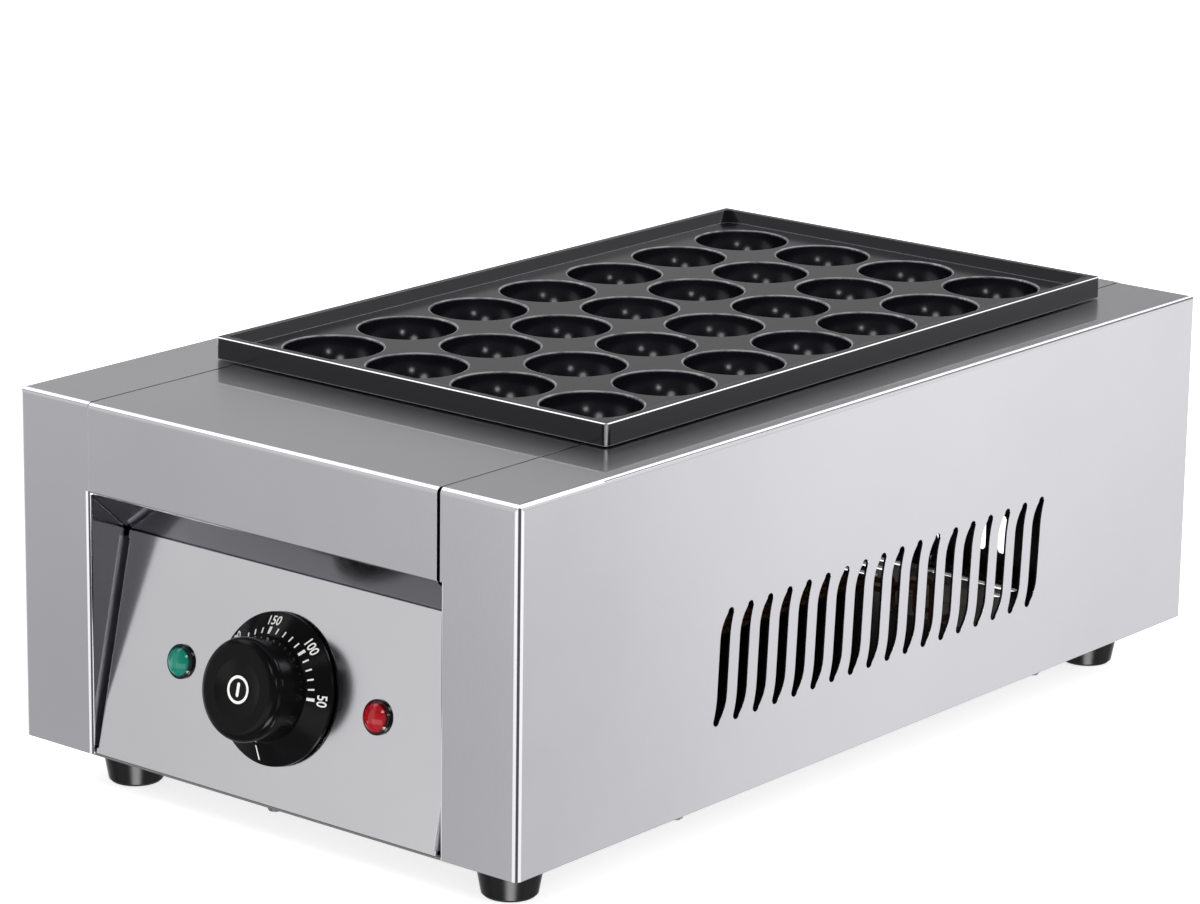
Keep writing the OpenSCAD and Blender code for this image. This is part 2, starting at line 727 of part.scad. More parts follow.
// U-shaped tubular heater under two columns of cups, its bend round the last cups.
module heater(x0) {
  bend = pitch_x / 2;
  y1 = row_y[cup_rows - 1];
  translate([x0, 0, heater_z]) {
    for (s = [-1, 1])
      translate([s * bend, leg_front_y, 0]) rotate([-90, 0, 0]) cylinder(y1 - leg_front_y, r = heater_r);
    translate([0, y1, 0]) rotate_extrude(angle = 180) translate([bend, 0]) circle(heater_r);
  }
}

module left_heater() {
  color("darkslategray") place() heater(-pitch_x);
}

module right_heater() {
  color("darkslategray") place() heater(pitch_x);
}

module heater_bars() {
  color("gray") place() for (y = bar_y) translate([0, y, bar_z]) difference() {
    linear_extrude(bar_t) round_rect(-2 * pitch_x + 4, -8, 2 * pitch_x - 4, 8, 4);
    for (x = stud_x) translate([x, 0, -cut]) cylinder(bar_t + 2 * cut, d = stud_bore_d);
  }
}

module heater_bushes() {
  color("ivory") place() for (x = col_x)
    translate([x, shield_y0, heater_z]) rotate([90, 0, 0]) difference() {
      cylinder(6, d = heater_d + 8);
      translate([0, 0, -cut]) cylinder(6 + 2 * cut, r = heater_r);
    }
}

module heater_pins() {
  color("silver") place() for (x = col_x)
    translate([x, leg_front_y, heater_z]) rotate([90, 0, 0]) cylinder(pin_l, d = 3);
}

// Wall between the heating space and the controls, standing on the base plate.
module bulkhead() {
  x1 = body_w / 2 - flange_w - 1;
  y = shield_y0 + 4;
  color("lightgray") place() translate([-x1, y, 0]) difference() {
    union() {
      cube([2 * x1, shield_t, shield_z - shield_t]);
      cube([2 * x1, 12, shield_t]);
    }
    translate([x1 + lead_hole_x, -cut, lead_hole_z]) rotate([-90, 0, 0])
      cylinder(shield_t + 2 * cut, d = 14);
  }
}

// ---------------------------------------------------------------- thermostat and dial

module thermostat() {
  color("whitesmoke") place() on_panel(0, knob_s) difference() {
    union() {
      translate([-thermostat_w / 2, -8, -sheet - mount_t]) cube([thermostat_w, 16, mount_t]);
      translate([-thermostat_w / 2, -thermostat_h / 2, -sheet - mount_t - thermostat_t])
        cube([thermostat_w, thermostat_h, thermostat_t]);
      translate([0, 0, -sheet - mount_t]) cylinder(sheet + mount_t, d = shaft_d + 3);
      for (x = tab_x) translate([x - tab_w / 2, tab_y, tab_z]) cube([tab_w, tab_t, tab_l + cut]);
    }
    translate([0, 0, -sheet - mount_t - 16]) cylinder(20 + mount_t, r = shaft_d / 2 + shaft_fit);
    for (x = [-1, 1])
      translate([x * thermostat_pitch / 2, 0, -sheet - 9]) cylinder(10, d = screw_d);
  }
}

module thermostat_screws() {
  color("silver") place() on_panel(0, knob_s) for (x = [-1, 1])
    translate([x * thermostat_pitch / 2, 0, 0]) pan_screw(screw_d, head_d, head_h, sheet + 7.5);
}

// Shaft with the flat that drives the dial.
module thermostat_shaft() {
  color("silver") place() on_panel(0, knob_s) difference() {
    translate([0, 0, -sheet - mount_t - 14]) cylinder(bore_h - 1 + sheet + mount_t + 14, d = shaft_d);
    translate([-shaft_d, shaft_d / 4, skirt_top]) cube([2 * shaft_d, shaft_d, bore_h]);
  }
}

// Conical skirt that carries the temperature scale.
module dial_skirt() {
  r = dial_d / 2;
  r_top = grip_d / 2 + 0.6;
  z_edge = dial_gap + dial_edge;
  color("#1c1c1f") place() on_panel(0, knob_s) rotate_extrude() difference() {
    polygon([
      [hub_r, dial_gap], [r - 0.4, dial_gap], [r, dial_gap + 0.4], [r, z_edge - 0.3], [r - 0.3, z_edge],
      [r_top, skirt_top], [hub_r, skirt_top]
    ]);
    polygon([
      [hub_r, dial_gap - cut], [r - dial_wall - 1, dial_gap - cut],
      [r - dial_wall - 1, z_edge - dial_wall / 2], [r_top - 1, skirt_top - dial_wall],
      [hub_r, skirt_top - dial_wall]
    ]);
    translate([0, skirt_top - dial_wall - cut]) square([hub_r + 0.3, dial_wall + 2 * cut]);
  }
}

// Round grip with its rounded face, dished middle, hollow back and hub on the shaft.
module knob_grip() {
  r = grip_d / 2;
  dish_r = dish_d / 2;
  dish_ball = (pow(dish_r, 2) + pow(dish_depth, 2)) / (2 * dish_depth);
  color("#1c1c1f") place() on_panel(0, knob_s) difference() {
    rotate_extrude() difference() {
      union() {
        translate([0, skirt_top]) square([r, grip_h - round_r]);
        translate([0, skirt_top]) square([r - round_r, grip_h]);
        intersection() {
          translate([r - round_r, face_h - round_r]) circle(round_r);
          translate([0, skirt_top]) square([r, grip_h]);
        }
      }
      translate([hub_r, skirt_top - cut]) square([r - grip_wall - hub_r, bore_h - skirt_top + cut]);
    }
    translate([0, 0, skirt_top - cut]) cylinder(bore_h - skirt_top + cut, r = shaft_d / 2);
    translate([0, 0, face_h - dish_depth + dish_ball]) sphere(dish_ball);
    translate([0, 0, face_h - dish_depth - 1]) cylinder(dish_depth + 2, d = cap_d + 0.2);
  }
  color("#1c1c1f") place() on_panel(0, knob_s) difference() {
    translate([0, 0, dial_gap]) cylinder(skirt_top - dial_gap, r = hub_r);
    translate([0, 0, dial_gap - cut]) cylinder(skirt_top + 2 * cut, r = shaft_d / 2);
  }
}

// Insert pressed into the middle of the grip.
module knob_cap() {
  color("#26262a") place() on_panel(0, knob_s)
    translate([0, 0, face_h - dish_depth - 1]) cylinder(1.5, d = cap_d);
}

// Capillary from the top of the thermostat up and back to the sensing bulb.
module capillary_tube() {
  collar_s = knob_s + thermostat_h / 2;
  depth = sheet + mount_t + thermostat_t / 2;
  y0 = near((collar_s + 3) * sin(panel_tilt) + depth * cos(panel_tilt));
  z0 = near((collar_s + 3) * cos(panel_tilt) - depth * sin(panel_tilt));
  z1 = near(bulb_z);
  color("peru") place() {
    on_panel(8, collar_s) translate([-3, 0, -depth - 3]) cube([6, 5, 6]);
    wire([
      [8, y0, z0], [8, y0, z1], [8, near(leg_front_y) - 24, z1], [0, near(leg_front_y) - 24, z1],
      [0, near(bulb_y - bulb_l / 2 + 3), z1]
    ], 1, turn_r);
  }
}

module sensing_bulb() {
  color("peru") place() translate([0, bulb_y - bulb_l / 2, bulb_z]) rotate([-90, 0, 0]) difference() {
    cylinder(bulb_l, d = bulb_d);
    translate([0, 0, -cut]) cylinder(4 + cut, r = 1.05);
  }
}

// Sprung post on the clamp bar with a cradle for the bulb.
module bulb_clip() {
  z0 = bar_z + bar_t;
  color("silver") place() difference() {
    translate([-5, bar_y[0] - 5, z0]) cube([10, 10, bulb_z - z0 + 1]);
    translate([0, bar_y[0] - 6, bulb_z]) rotate([-90, 0, 0]) cylinder(12, d = bulb_d);
    translate([-2.5, bar_y[0] - 6, z0 + 2]) cube([5, 12, max(1, bulb_z - bulb_d / 2 - z0 - 4)]);
  }
}

// ---------------------------------------------------------------- lamps

// Domed lens in its bezel.
module lamp_lens(x) {
  r = lens_d / 2;
  ball = (pow(r, 2) + pow(lens_h, 2)) / (2 * lens_h);
  on_panel(x, knob_s) intersection() {
    translate([0, 0, bezel_h / 2]) cylinder(bezel_h / 2 + lens_h, r = r);
    translate([0, 0, bezel_h + lens_h - ball]) sphere(ball);
  }
}

// Bezel flange, threaded body and two tabs.
module lamp_body(x) {
  on_panel(x, knob_s) {
    difference() {
      union() {
        cylinder(bezel_h - 0.3, d = lamp_d);
        translate([0, 0, bezel_h - 0.3]) cylinder(0.3, d1 = lamp_d, d2 = lamp_d - 0.6);
      }
      translate([0, 0, bezel_h / 2]) cylinder(bezel_h, d = lens_d);
    }
    translate([0, 0, -lamp_body_l]) cylinder(lamp_body_l, d = lamp_body_d);
    for (s = [-1, 1])
      translate([s * lamp_tab_x - tab_t / 2, -lamp_tab_w / 2, -lamp_body_l - tab_l])
        cube([tab_t, lamp_tab_w, tab_l + cut]);
  }
}

module lamp_nut(x) {
  on_panel(x, knob_s) translate([0, 0, -sheet - 3]) hex_nut(lamp_body_d + 4, 3, lamp_body_d);
}

module green_lamp_lens() {
  color("teal") place() lamp_lens(-lamp_x);
}

module green_lamp_body() {
  color("#1c1c1f") place() lamp_body(-lamp_x);
}

module green_lamp_nut() {
  color("#1c1c1f") place() lamp_nut(-lamp_x);
}

module red_lamp_lens() {
  color("crimson") place() lamp_lens(lamp_x);
}

module red_lamp_body() {
  color("#1c1c1f") place() lamp_body(lamp_x);
}

module red_lamp_nut() {
  color("#1c1c1f") place() lamp_nut(lamp_x);
}

// ---------------------------------------------------------------- feet and screws

// Tapered rubber foot with a recess for its screw.
module foot(i) {
  p = foot_points[i];
  r0 = foot_bottom_d / 2;
  r1 = foot_top_d / 2;
  place() translate([p[0], p[1], -foot_reach]) difference() {
    rotate_extrude() {
      polygon([[0, 0], [r0 - 1, 0], [r0, 1], [r1, foot_h], [0, foot_h]]);
    }
    translate([0, 0, -cut]) cylinder(foot_h - foot_web + cut, d = head_d + 3);
    translate([0, 0, -cut]) cylinder(foot_h + 2 * cut, d = bore_d);
  }
}

module foot_front_left() {
  color("#151515") foot(0);
}

module foot_front_right() {
  color("#151515") foot(1);
}

module foot_back_left() {
  color("#151515") foot(2);
}

module foot_back_right() {
  color("#151515") foot(3);
}

module foot_screws() {
  color("silver") place() for (p = foot_points)
    translate([p[0], p[1], -base_t - foot_web]) rotate([180, 0, 0])
      pan_screw(screw_d, head_d, head_h, foot_web + base_t + 4);
}

module foot_nuts() {
  color("silver") place() for (p = foot_points) translate([p[0], p[1], 0]) hex_nut(7, 3.2, screw_d);
}

module base_screws() {
  color("silver") place() for (p = base_points)
    translate([p[0], p[1], -base_t]) rotate([180, 0, 0])
      pan_screw(screw_d, head_d, head_h, base_t + sheet + 3);
}

module back_screws() {
  color("silver") place() for (p = back_points)
    translate([p[0], body_l, p[1]]) rotate([-90, 0, 0]) pan_screw(screw_d, head_d, head_h, 2 * sheet + 3);
}

// ---------------------------------------------------------------- cable inlet and wiring

// Gland with its hexagon, domed nut and the thread through the rear cover.
module cable_gland() {
  bore = gland_bore_d / 2;
  body = bore + 3.4;
  color("#202022") place() translate([gland_x, body_l, gland_z]) rotate([-90, 0, 0]) difference() {
    union() {
      cylinder(5, d = 2 * body + 6, $fn = 6);
      rotate_extrude() difference() {
        translate([0, 4]) square([body + 2, gland_out - 4]);
        difference() {
          translate([body, gland_out - 2]) square([3, 3]);
          translate([body, gland_out - 2]) circle(2);
        }
      }
      translate([0, 0, -sheet - 9]) cylinder(sheet + 10, r = body);
    }
    translate([0, 0, -sheet - 10]) cylinder(gland_out + sheet + 12, r = bore);
  }
}

module gland_nut() {
  body = gland_bore_d / 2 + 3.4;
  color("#202022") place() translate([gland_x, side_l, gland_z]) rotate([90, 0, 0])
    hex_nut(2 * body + 5, 5, 2 * body);
}

module terminal_block() {
  color("ivory") place() translate([block_x, block_y, 0]) difference() {
    union() {
      translate([-20, -10, 0]) cube([40, 20, 9]);
      translate([-20, -5.5, 0]) cube([40, 11, 16]);
    }
    for (x = [-12, 0, 12], y = [-7.8, 7.8])
      translate([x, y, 5]) cylinder(5, d = 3.4);
  }
}

module terminal_screws() {
  color("goldenrod") place() translate([block_x, block_y, 0]) for (x = [-12, 0, 12], y = [-7.8, 7.8])
    translate([x, y, 5]) difference() {
      cylinder(3, d = 3.4);
      translate([-2, -0.3, 2]) cube([4, 0.6, 2]);
    }
}

// Sleeve on a spade tab: x and y are its middle in the panel's frame, z the end of the tab.
module sleeve(x, y, z, w, t) {
  on_panel(x, knob_s) translate([0, y, z]) difference() {
    translate([-w / 2 - 0.7, -t / 2 - 0.7, tab_l - sleeve_l]) cube([w + 1.4, t + 1.4, sleeve_l - 0.4]);
    translate([-w / 2, -t / 2, 0]) cube([w, t, tab_l + cut]);
  }
}

// Where a lead leaves a sleeve, rounded; s is the height on the panel and depth the tab's end.
function lead_y(s, depth) = near(s * sin(panel_tilt) + (depth + 2) * cos(panel_tilt));
function lead_z(s, depth) = near(s * cos(panel_tilt) - (depth + 2) * sin(panel_tilt));

tab_s = knob_s + tab_y + tab_t / 2;
tab_lead_y = lead_y(tab_s, -tab_z);
tab_lead_z = lead_z(tab_s, -tab_z);
lamp_lead_y = lead_y(knob_s, lamp_body_l + tab_l);
lamp_lead_z = lead_z(knob_s, lamp_body_l + tab_l);
pin_y = near(leg_front_y - pin_l);
leads_y = pin_y - 11;

// Leads from the thermostat up to the inner heater pins, and the link between the outer pins.
module heater_leads() {
  z1 = near(heater_z);
  color("firebrick") place() {
    for (k = [0, 1]) {
      x0 = tab_x[2 * k];
      x1 = near(col_x[k + 1]);
      sleeve(x0, tab_y + tab_t / 2, tab_z, tab_w, tab_t);
      wire([
        [x0, tab_lead_y, tab_lead_z], [x0, leads_y, tab_lead_z], [x0, leads_y, z1], [x1, leads_y, z1],
        [x1, pin_y, z1]
      ], lead_r, turn_r);
    }
    wire([
      [near(col_x[0]), pin_y, z1], [near(col_x[0]), pin_y - 6.5, z1], [near(col_x[0]), pin_y - 6.5, z1 - 9],
      [near(col_x[3]), pin_y - 6.5, z1 - 9], [near(col_x[3]), pin_y - 6.5, z1], [near(col_x[3]), pin_y, z1]
    ], lead_r, turn_r);
  }
}

// Link between the inner tabs of the two lamps.
module lamp_link() {
  x1 = lamp_x - lamp_tab_x;
  y1 = pin_y - 6;
  color("navy") place() {
    for (s = [-1, 1]) sleeve(s * x1, 0, -lamp_body_l - tab_l, tab_t, lamp_tab_w);
    wire([
      [-x1, lamp_lead_y, lamp_lead_z], [-x1, y1, lamp_lead_z], [x1, y1, lamp_lead_z],
      [x1, lamp_lead_y, lamp_lead_z]
    ], lead_r, turn_r);
  }
}

// Leads from the terminal block forward through the bulkhead to the thermostat and the lamps.
module panel_leads() {
  y0 = block_y - 10;
  x2 = lamp_x + lamp_tab_x;
  hole_x = lead_hole_x;
  hole_z = lead_hole_z;
  color("sienna") place() {
    sleeve(0, tab_y + tab_t / 2, tab_z, tab_w, tab_t);
    for (s = [-1, 1]) sleeve(s * x2, 0, -lamp_body_l - tab_l, tab_t, lamp_tab_w);
    wire([
      [block_x - 12, y0, 4.5], [block_x - 12, y0 - 10, 4.5], [block_x - 12, y0 - 10, hole_z - 1.5],
      [block_x - 12, y0 - 20, hole_z - 1.5], [hole_x - 2.5, y0 - 20, hole_z - 1.5],
      [hole_x - 2.5, pin_y - 5, hole_z - 1.5], [0, pin_y - 5, hole_z - 1.5], [0, pin_y - 5, tab_lead_z],
      [0, tab_lead_y, tab_lead_z]
    ], lead_r, turn_r);
    wire([
      [block_x, y0, 4.5], [block_x, y0 - 10, 4.5], [block_x, y0 - 10, hole_z - 1.5],
      [block_x, y0 - 30, hole_z - 1.5], [hole_x + 2.5, y0 - 30, hole_z - 1.5],
      [hole_x + 2.5, pin_y, hole_z - 1.5], [hole_x + 2.5, pin_y, lamp_lead_z], [x2, pin_y, lamp_lead_z],
      [x2, lamp_lead_y, lamp_lead_z]
    ], lead_r, turn_r);
    wire([
      [block_x + 12, y0, 4.5], [block_x + 12, y0 - 15, 4.5], [block_x + 12, y0 - 15, hole_z + 2.5],
      [block_x + 12, y0 - 30, hole_z + 2.5], [hole_x, y0 - 30, hole_z + 2.5],
      [hole_x, pin_y + 5, hole_z + 2.5], [-x2, pin_y + 5, hole_z + 2.5], [-x2, pin_y + 5, lamp_lead_z],
      [-x2, lamp_lead_y, lamp_lead_z]
    ], lead_r, turn_r);
  }
}

// ---------------------------------------------------------------- assembly

base_plate();
left_side_panel();
right_side_panel();
front_cover();
control_panel();
rear_cover();
mould_plate();
plate_studs();
plate_nuts();
front_bracket();
rear_bracket();
heat_shield();
left_heater();
right_heater();
heater_bars();
heater_bushes();
heater_pins();
bulkhead();
thermostat();
thermostat_screws();
thermostat_shaft();
dial_skirt();
knob_grip();
knob_cap();
capillary_tube();
sensing_bulb();
bulb_clip();
green_lamp_lens();
green_lamp_body();
green_lamp_nut();
red_lamp_lens();
red_lamp_body();
red_lamp_nut();
foot_front_left();
foot_front_right();
foot_back_left();
foot_back_right();
foot_screws();
foot_nuts();
base_screws();
back_screws();
cable_gland();
gland_nut();
terminal_block();
terminal_screws();
panel_leads();
heater_leads();
lamp_link();
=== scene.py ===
"""Looks of an electric takoyaki maker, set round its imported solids."""

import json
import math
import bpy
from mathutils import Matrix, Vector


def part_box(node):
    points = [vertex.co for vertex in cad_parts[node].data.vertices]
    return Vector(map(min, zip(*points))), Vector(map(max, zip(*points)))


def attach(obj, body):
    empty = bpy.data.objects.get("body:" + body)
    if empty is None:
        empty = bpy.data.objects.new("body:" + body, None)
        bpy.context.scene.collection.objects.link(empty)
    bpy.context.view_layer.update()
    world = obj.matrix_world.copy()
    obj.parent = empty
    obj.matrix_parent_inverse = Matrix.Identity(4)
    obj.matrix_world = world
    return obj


bl_info = {
    "name": "Takoyaki Maker",
    "version": (1, 0, 0),
    "blender": (4, 5, 0),
    "location": "View3D > Sidebar > Takoyaki",
    "description": "Finishes, dial print and studio for an electric takoyaki maker",
    "category": "Object",
}

import bpy
from bpy.props import FloatProperty, FloatVectorProperty, IntProperty, PointerProperty
from mathutils import Matrix, Vector

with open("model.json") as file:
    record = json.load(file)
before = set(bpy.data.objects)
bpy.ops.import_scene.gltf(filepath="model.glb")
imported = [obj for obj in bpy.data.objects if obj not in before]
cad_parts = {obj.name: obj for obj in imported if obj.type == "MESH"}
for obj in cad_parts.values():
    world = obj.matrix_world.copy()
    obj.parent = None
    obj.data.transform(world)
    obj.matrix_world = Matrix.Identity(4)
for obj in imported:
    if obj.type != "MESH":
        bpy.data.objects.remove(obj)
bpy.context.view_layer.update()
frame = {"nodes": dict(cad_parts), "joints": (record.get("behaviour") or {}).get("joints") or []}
NODES = frame["nodes"]
MM = 0.001
DEG = math.pi / 180

DIAL_TURN = next(j for j in frame["joints"] if j["name"] == "dial_turn")
DIAL_AT = Vector(DIAL_TURN["pos_m"])
PANEL_OUT = Vector(DIAL_TURN["axis"]).normalized()
PANEL_RIGHT = Vector((1, 0, 0))
PANEL_UP = PANEL_OUT.cross(PANEL_RIGHT)

# The skirt's cone, measured from the dial's centre on the panel: radius and height at its two edges.
SKIRT_RIM = (29.2 * MM, 2.3 * MM)
SKIRT_TOP = (20.6 * MM, 7.5 * MM)
# The scale: degrees and marks from one number to the next, and how much longer and wider a number's mark is.
DEGREES_PER_NUMBER = 50
MARKS_PER_NUMBER = 5
LONG_MARK = 1.25
WIDE_MARK = 1.9
# The line that marks off: the radii of its two ends, and half its width as a share of a small mark's width.
OFF_LINE = (21.9 * MM, 27.7 * MM)
OFF_LINE_HALF = 0.45
# The cap: how far its face stands off the panel, the width of its ring, and half the bar's width and length.
CAP_FACE = 22.5 * MM
RING_WIDE = 1.1 * MM
BAR_HALF = (0.7 * MM, 2.1 * MM)
# The built-in font's size for capitals one unit tall, how much it is thickened, and the steps of its curves.
FONT_SIZE = 1.42
FONT_BOLD = 0.02
FONT_STEPS = 4

# Rounding of the steel's cut edges, and the samples of every bevel.
CUT_EDGE = 0.12 * MM
BEVEL_SAMPLES = 6
# The body's inside, where painted shade darkens the sheet: how deep under the skin it starts and is full, and
# how far behind the front strips.
SKIN_DEPTH = (0.5 * MM, 0.7 * MM)
BEHIND_CONTROLS = 48 * MM
# The cups' spacing across and along the plate, the middle radius of their lips, the tray's depth, and how far
# in from the plate's sides the cups begin.
CUP_PITCH = (44.5 * MM, 44.2 * MM)
CUP_LIP = 20.45 * MM
TRAY_DEPTH = 4.6 * MM
CUPS_BEGIN = 11 * MM
# Where a line starts to fade and where it ends: beside a cup's lip, beside the rim's top edge, and at the
# rim's corners, there as the sum of both distances. Then how far under the tray's floor a lip's line ends.
LIP_LINE = (0.28 * MM, 0.45 * MM)
RIM_LINE = (0.4 * MM, 0.6 * MM)
CORNER_LINE = (1.45 * MM, 1.6 * MM)
LIP_DROP = 1 * MM
# Radii between which the bezel's shade comes on at the edge of a lens.
LENS_SHADE = (5.1 * MM, 5.7 * MM)


# ---------------------------------------------------------------- sizes and colours a user may change

def length(label, text, value):
    return FloatProperty(name=label, description=text, default=value, unit="LENGTH")


def dial_angle(label, text, value):
    return FloatProperty(name=label, description=text, default=value, subtype="ANGLE")


def tint(label, text, value):
    return FloatVectorProperty(
        name=label, description=text, default=value, size=3, subtype="COLOR", min=0, max=1)


class TakoyakiSizes(bpy.types.PropertyGroup):
    """Sizes of the print on the dial, and of the studio floor"""

    print_lift: length("Print lift", "Height of the print above the skirt", 0.06 * MM)
    tick_mid: length("Tick radius", "Radius of the middle of the scale's ticks", 22.4 * MM)
    tick_long: length("Tick length", "Length of a small tick", 2.1 * MM)
    tick_wide: length("Tick width", "Width of a small tick", 0.62 * MM)
    number_mid: length("Number radius", "Radius of the middle of the numbers", 26.2 * MM)
    number_tall: length("Number height", "Height of the numbers", 3.3 * MM)
    scale_first: dial_angle("First mark", "Angle of the lowest mark", 1.7 * DEG)
    scale_step: dial_angle("Step", "Angle from one number to the next", 47.8 * DEG)
    scale_numbers: IntProperty(
        name="Numbers", description="How many numbers the scale has", default=5, min=2, max=7)
    off_angle: dial_angle("Off line", "Angle of the line that marks off", -92.5 * DEG)
    ring_radius: length("Ring radius", "Outer radius of the ring on the cap", 5.4 * MM)
    floor_size: length("Floor", "Width of the studio floor", 14.0)


class TakoyakiColours(bpy.types.PropertyGroup):
    """Colours of the finishes that show"""

    steel: tint("Steel", "Polished stainless sheet", (0.66, 0.654, 0.694))
    panel: tint("Panel", "Control panel sheet", (0.7, 0.697, 0.724))
    base: tint("Base", "Satin sheet under the body", (0.3, 0.3, 0.305))
    coating: tint("Coating", "Dark coating of the mould plate", (0.0052, 0.0049, 0.0078))
    # Worn coating on the plate's edges and the cups' lips, which is also a painted highlight there.
    worn_and_highlight_edge: tint("Worn edge", "Coating worn thin on the edges of the cups", (0.3, 0.3, 0.32))
    bare_edge: tint("Bare edge", "Polished metal on the outer edge of the rim", (0.82, 0.82, 0.83))
    phenolic: tint("Dial", "Black moulding of the dial", (0.004, 0.004, 0.0045))
    rubbed: tint("Rubbed dial", "Edges of the dial where hands rub it", (0.012, 0.012, 0.013))
    scale_print: tint("Print", "White print on the dial", (0.82, 0.82, 0.8))
    bezel: tint("Bezel", "Black moulding of the lamps", (0.003, 0.003, 0.0032))
    green: tint("Green lens", "Lens of the left lamp", (0.004, 0.2, 0.14))
    red: tint("Red lens", "Lens of the right lamp", (0.36, 0.006, 0.012))
    rubber: tint("Feet", "Rubber of the feet", (0.008, 0.008, 0.009))
    floor: tint("Floor", "Studio floor", (0.86, 0.86, 0.86))


# ---------------------------------------------------------------- shared shader node groups

# Noise of the shared groups and masks, in waves per metre.
WEAR_WAVES = 420.0
CLOUD_WAVES = 14.0
SHEEN_WAVES = 30.0
CHIP_WAVES = 160.0
# The polishing grain runs from front to back.
GRAIN_STRETCH = (1.0, 0.02, 0.3)
# Levels of noise between which a tone or the chips of a worn, painted-highlight line come on, and the least
# the line keeps.
SHEET_TONE = (0.3, 0.7)
SKIN_TONE = (0.35, 0.65)
CHIPS = (0.3, 0.6)
CHIP_LEAST = 0.35


def new_group(name, inputs, outputs):
    """An empty shader group with the named float sockets, and its input and output nodes."""
    group = bpy.data.node_groups.new(name, "ShaderNodeTree")
    for label, value in inputs:
        socket = group.interface.new_socket(name=label, in_out="INPUT", socket_type="NodeSocketFloat")
        socket.default_value = value
    for label in outputs:
        group.interface.new_socket(name=label, in_out="OUTPUT", socket_type="NodeSocketFloat")
    return group, group.nodes.new("NodeGroupInput"), group.nodes.new("NodeGroupOutput")


def plug(tree, value, socket):
    """Links a socket into another, or sets a constant on it."""
    if hasattr(value, "is_linked"):
        tree.links.new(value, socket)
    else:
        socket.default_value = value


def math_node(tree, operation, *values, clamp=False):
    """A Math node whose inputs are sockets or numbers; returns its output."""
    node = tree.nodes.new("ShaderNodeMath")
    node.operation = operation
    node.use_clamp = clamp
    for socket, value in zip(node.inputs, values):
        plug(tree, value, socket)
    return node.outputs[0]


def vector_node(tree, operation, *values, result="Vector"):
    """A Vector Math node whose inputs are sockets or vectors; returns the named output."""
    node = tree.nodes.new("ShaderNodeVectorMath")
    node.operation = operation
    for socket, value in zip(node.inputs, values):
        plug(tree, value, socket)
    return node.outputs[result]


def row_place(tree):
    """Socket of the shaded point in the row frame."""
    return tree.nodes.new("ShaderNodeTexCoord").outputs["Object"]


def xyz(tree, vector):
    """The three parts of a vector's socket, by name."""
    split = tree.nodes.new("ShaderNodeSeparateXYZ")
    tree.links.new(vector, split.inputs[0])
    return split.outputs


def noise(tree, scale, detail=3.0, rough=0.5, stretch=(1, 1, 1)):
    """Noise in the row frame; scale is a socket or a number of waves per metre."""
    mapping = tree.nodes.new("ShaderNodeMapping")
    mapping.inputs["Scale"].default_value = stretch
    texture = tree.nodes.new("ShaderNodeTexNoise")
    texture.inputs["Detail"].default_value = detail
    texture.inputs["Roughness"].default_value = rough
    tree.links.new(row_place(tree), mapping.inputs["Vector"])
    tree.links.new(mapping.outputs["Vector"], texture.inputs["Vector"])
    plug(tree, scale, texture.inputs["Scale"])
    return texture.outputs["Fac"]


def map_range(tree, value, low, high, to_low=0.0, to_high=1.0):
    """A clamped Map Range whose limits are sockets or numbers."""
    node = tree.nodes.new("ShaderNodeMapRange")
    tree.links.new(value, node.inputs["Value"])
    for label, limit in (("From Min", low), ("From Max", high), ("To Min", to_low), ("To Max", to_high)):
        plug(tree, limit, node.inputs[label])
    return node.outputs["Result"]


def edge_wear_and_highlight_group():
    """Mask that is 1 on rounded or sharp outer edges, broken up by noise; it marks wear, and on the plate
    also a painted highlight.
    """
    group, source, sink = new_group(
        "takoyaki_edge_wear_and_highlight", (("Radius", 0.8 * MM), ("Amount", 8.0), ("Breakup", 0.35)), ("Mask",))
    bevel = group.nodes.new("ShaderNodeBevel")
    bevel.samples = BEVEL_SAMPLES
    group.links.new(source.outputs["Radius"], bevel.inputs["Radius"])
    here = group.nodes.new("ShaderNodeNewGeometry")
    match = vector_node(group, "DOT_PRODUCT", bevel.outputs["Normal"], here.outputs["Normal"], result="Value")
    strong = math_node(group, "MULTIPLY", math_node(group, "SUBTRACT", 1.0, match), source.outputs["Amount"])
    worn = math_node(group, "MULTIPLY", noise(group, WEAR_WAVES), source.outputs["Breakup"])
    group.links.new(math_node(group, "SUBTRACT", strong, worn, clamp=True), sink.inputs["Mask"])
    return group


def sheet_group():
    """Slow waves and a faint polishing grain of thin sheet, with the smudges of handling."""
    group, source, sink = new_group(
        "takoyaki_sheet",
        (("Waves", 5.0), ("Grain", 900.0), ("Grain depth", 0.03), ("Smudge", 0.05), ("Gloss", 0.14)),
        ("Height", "Roughness", "Tone"))
    wave = noise(group, source.outputs["Waves"], detail=1.0, rough=0.4)
    grain = noise(group, source.outputs["Grain"], detail=2.0, rough=0.6, stretch=GRAIN_STRETCH)
    deep = math_node(group, "MULTIPLY", grain, source.outputs["Grain depth"])
    group.links.new(math_node(group, "ADD", wave, deep), sink.inputs["Height"])
    cloud = noise(group, CLOUD_WAVES, detail=5.0, rough=0.62)
    smear = math_node(group, "MULTIPLY", cloud, source.outputs["Smudge"])
    group.links.new(math_node(group, "ADD", smear, source.outputs["Gloss"]), sink.inputs["Roughness"])
    group.links.new(map_range(group, cloud, *SHEET_TONE), sink.inputs["Tone"])
    return group


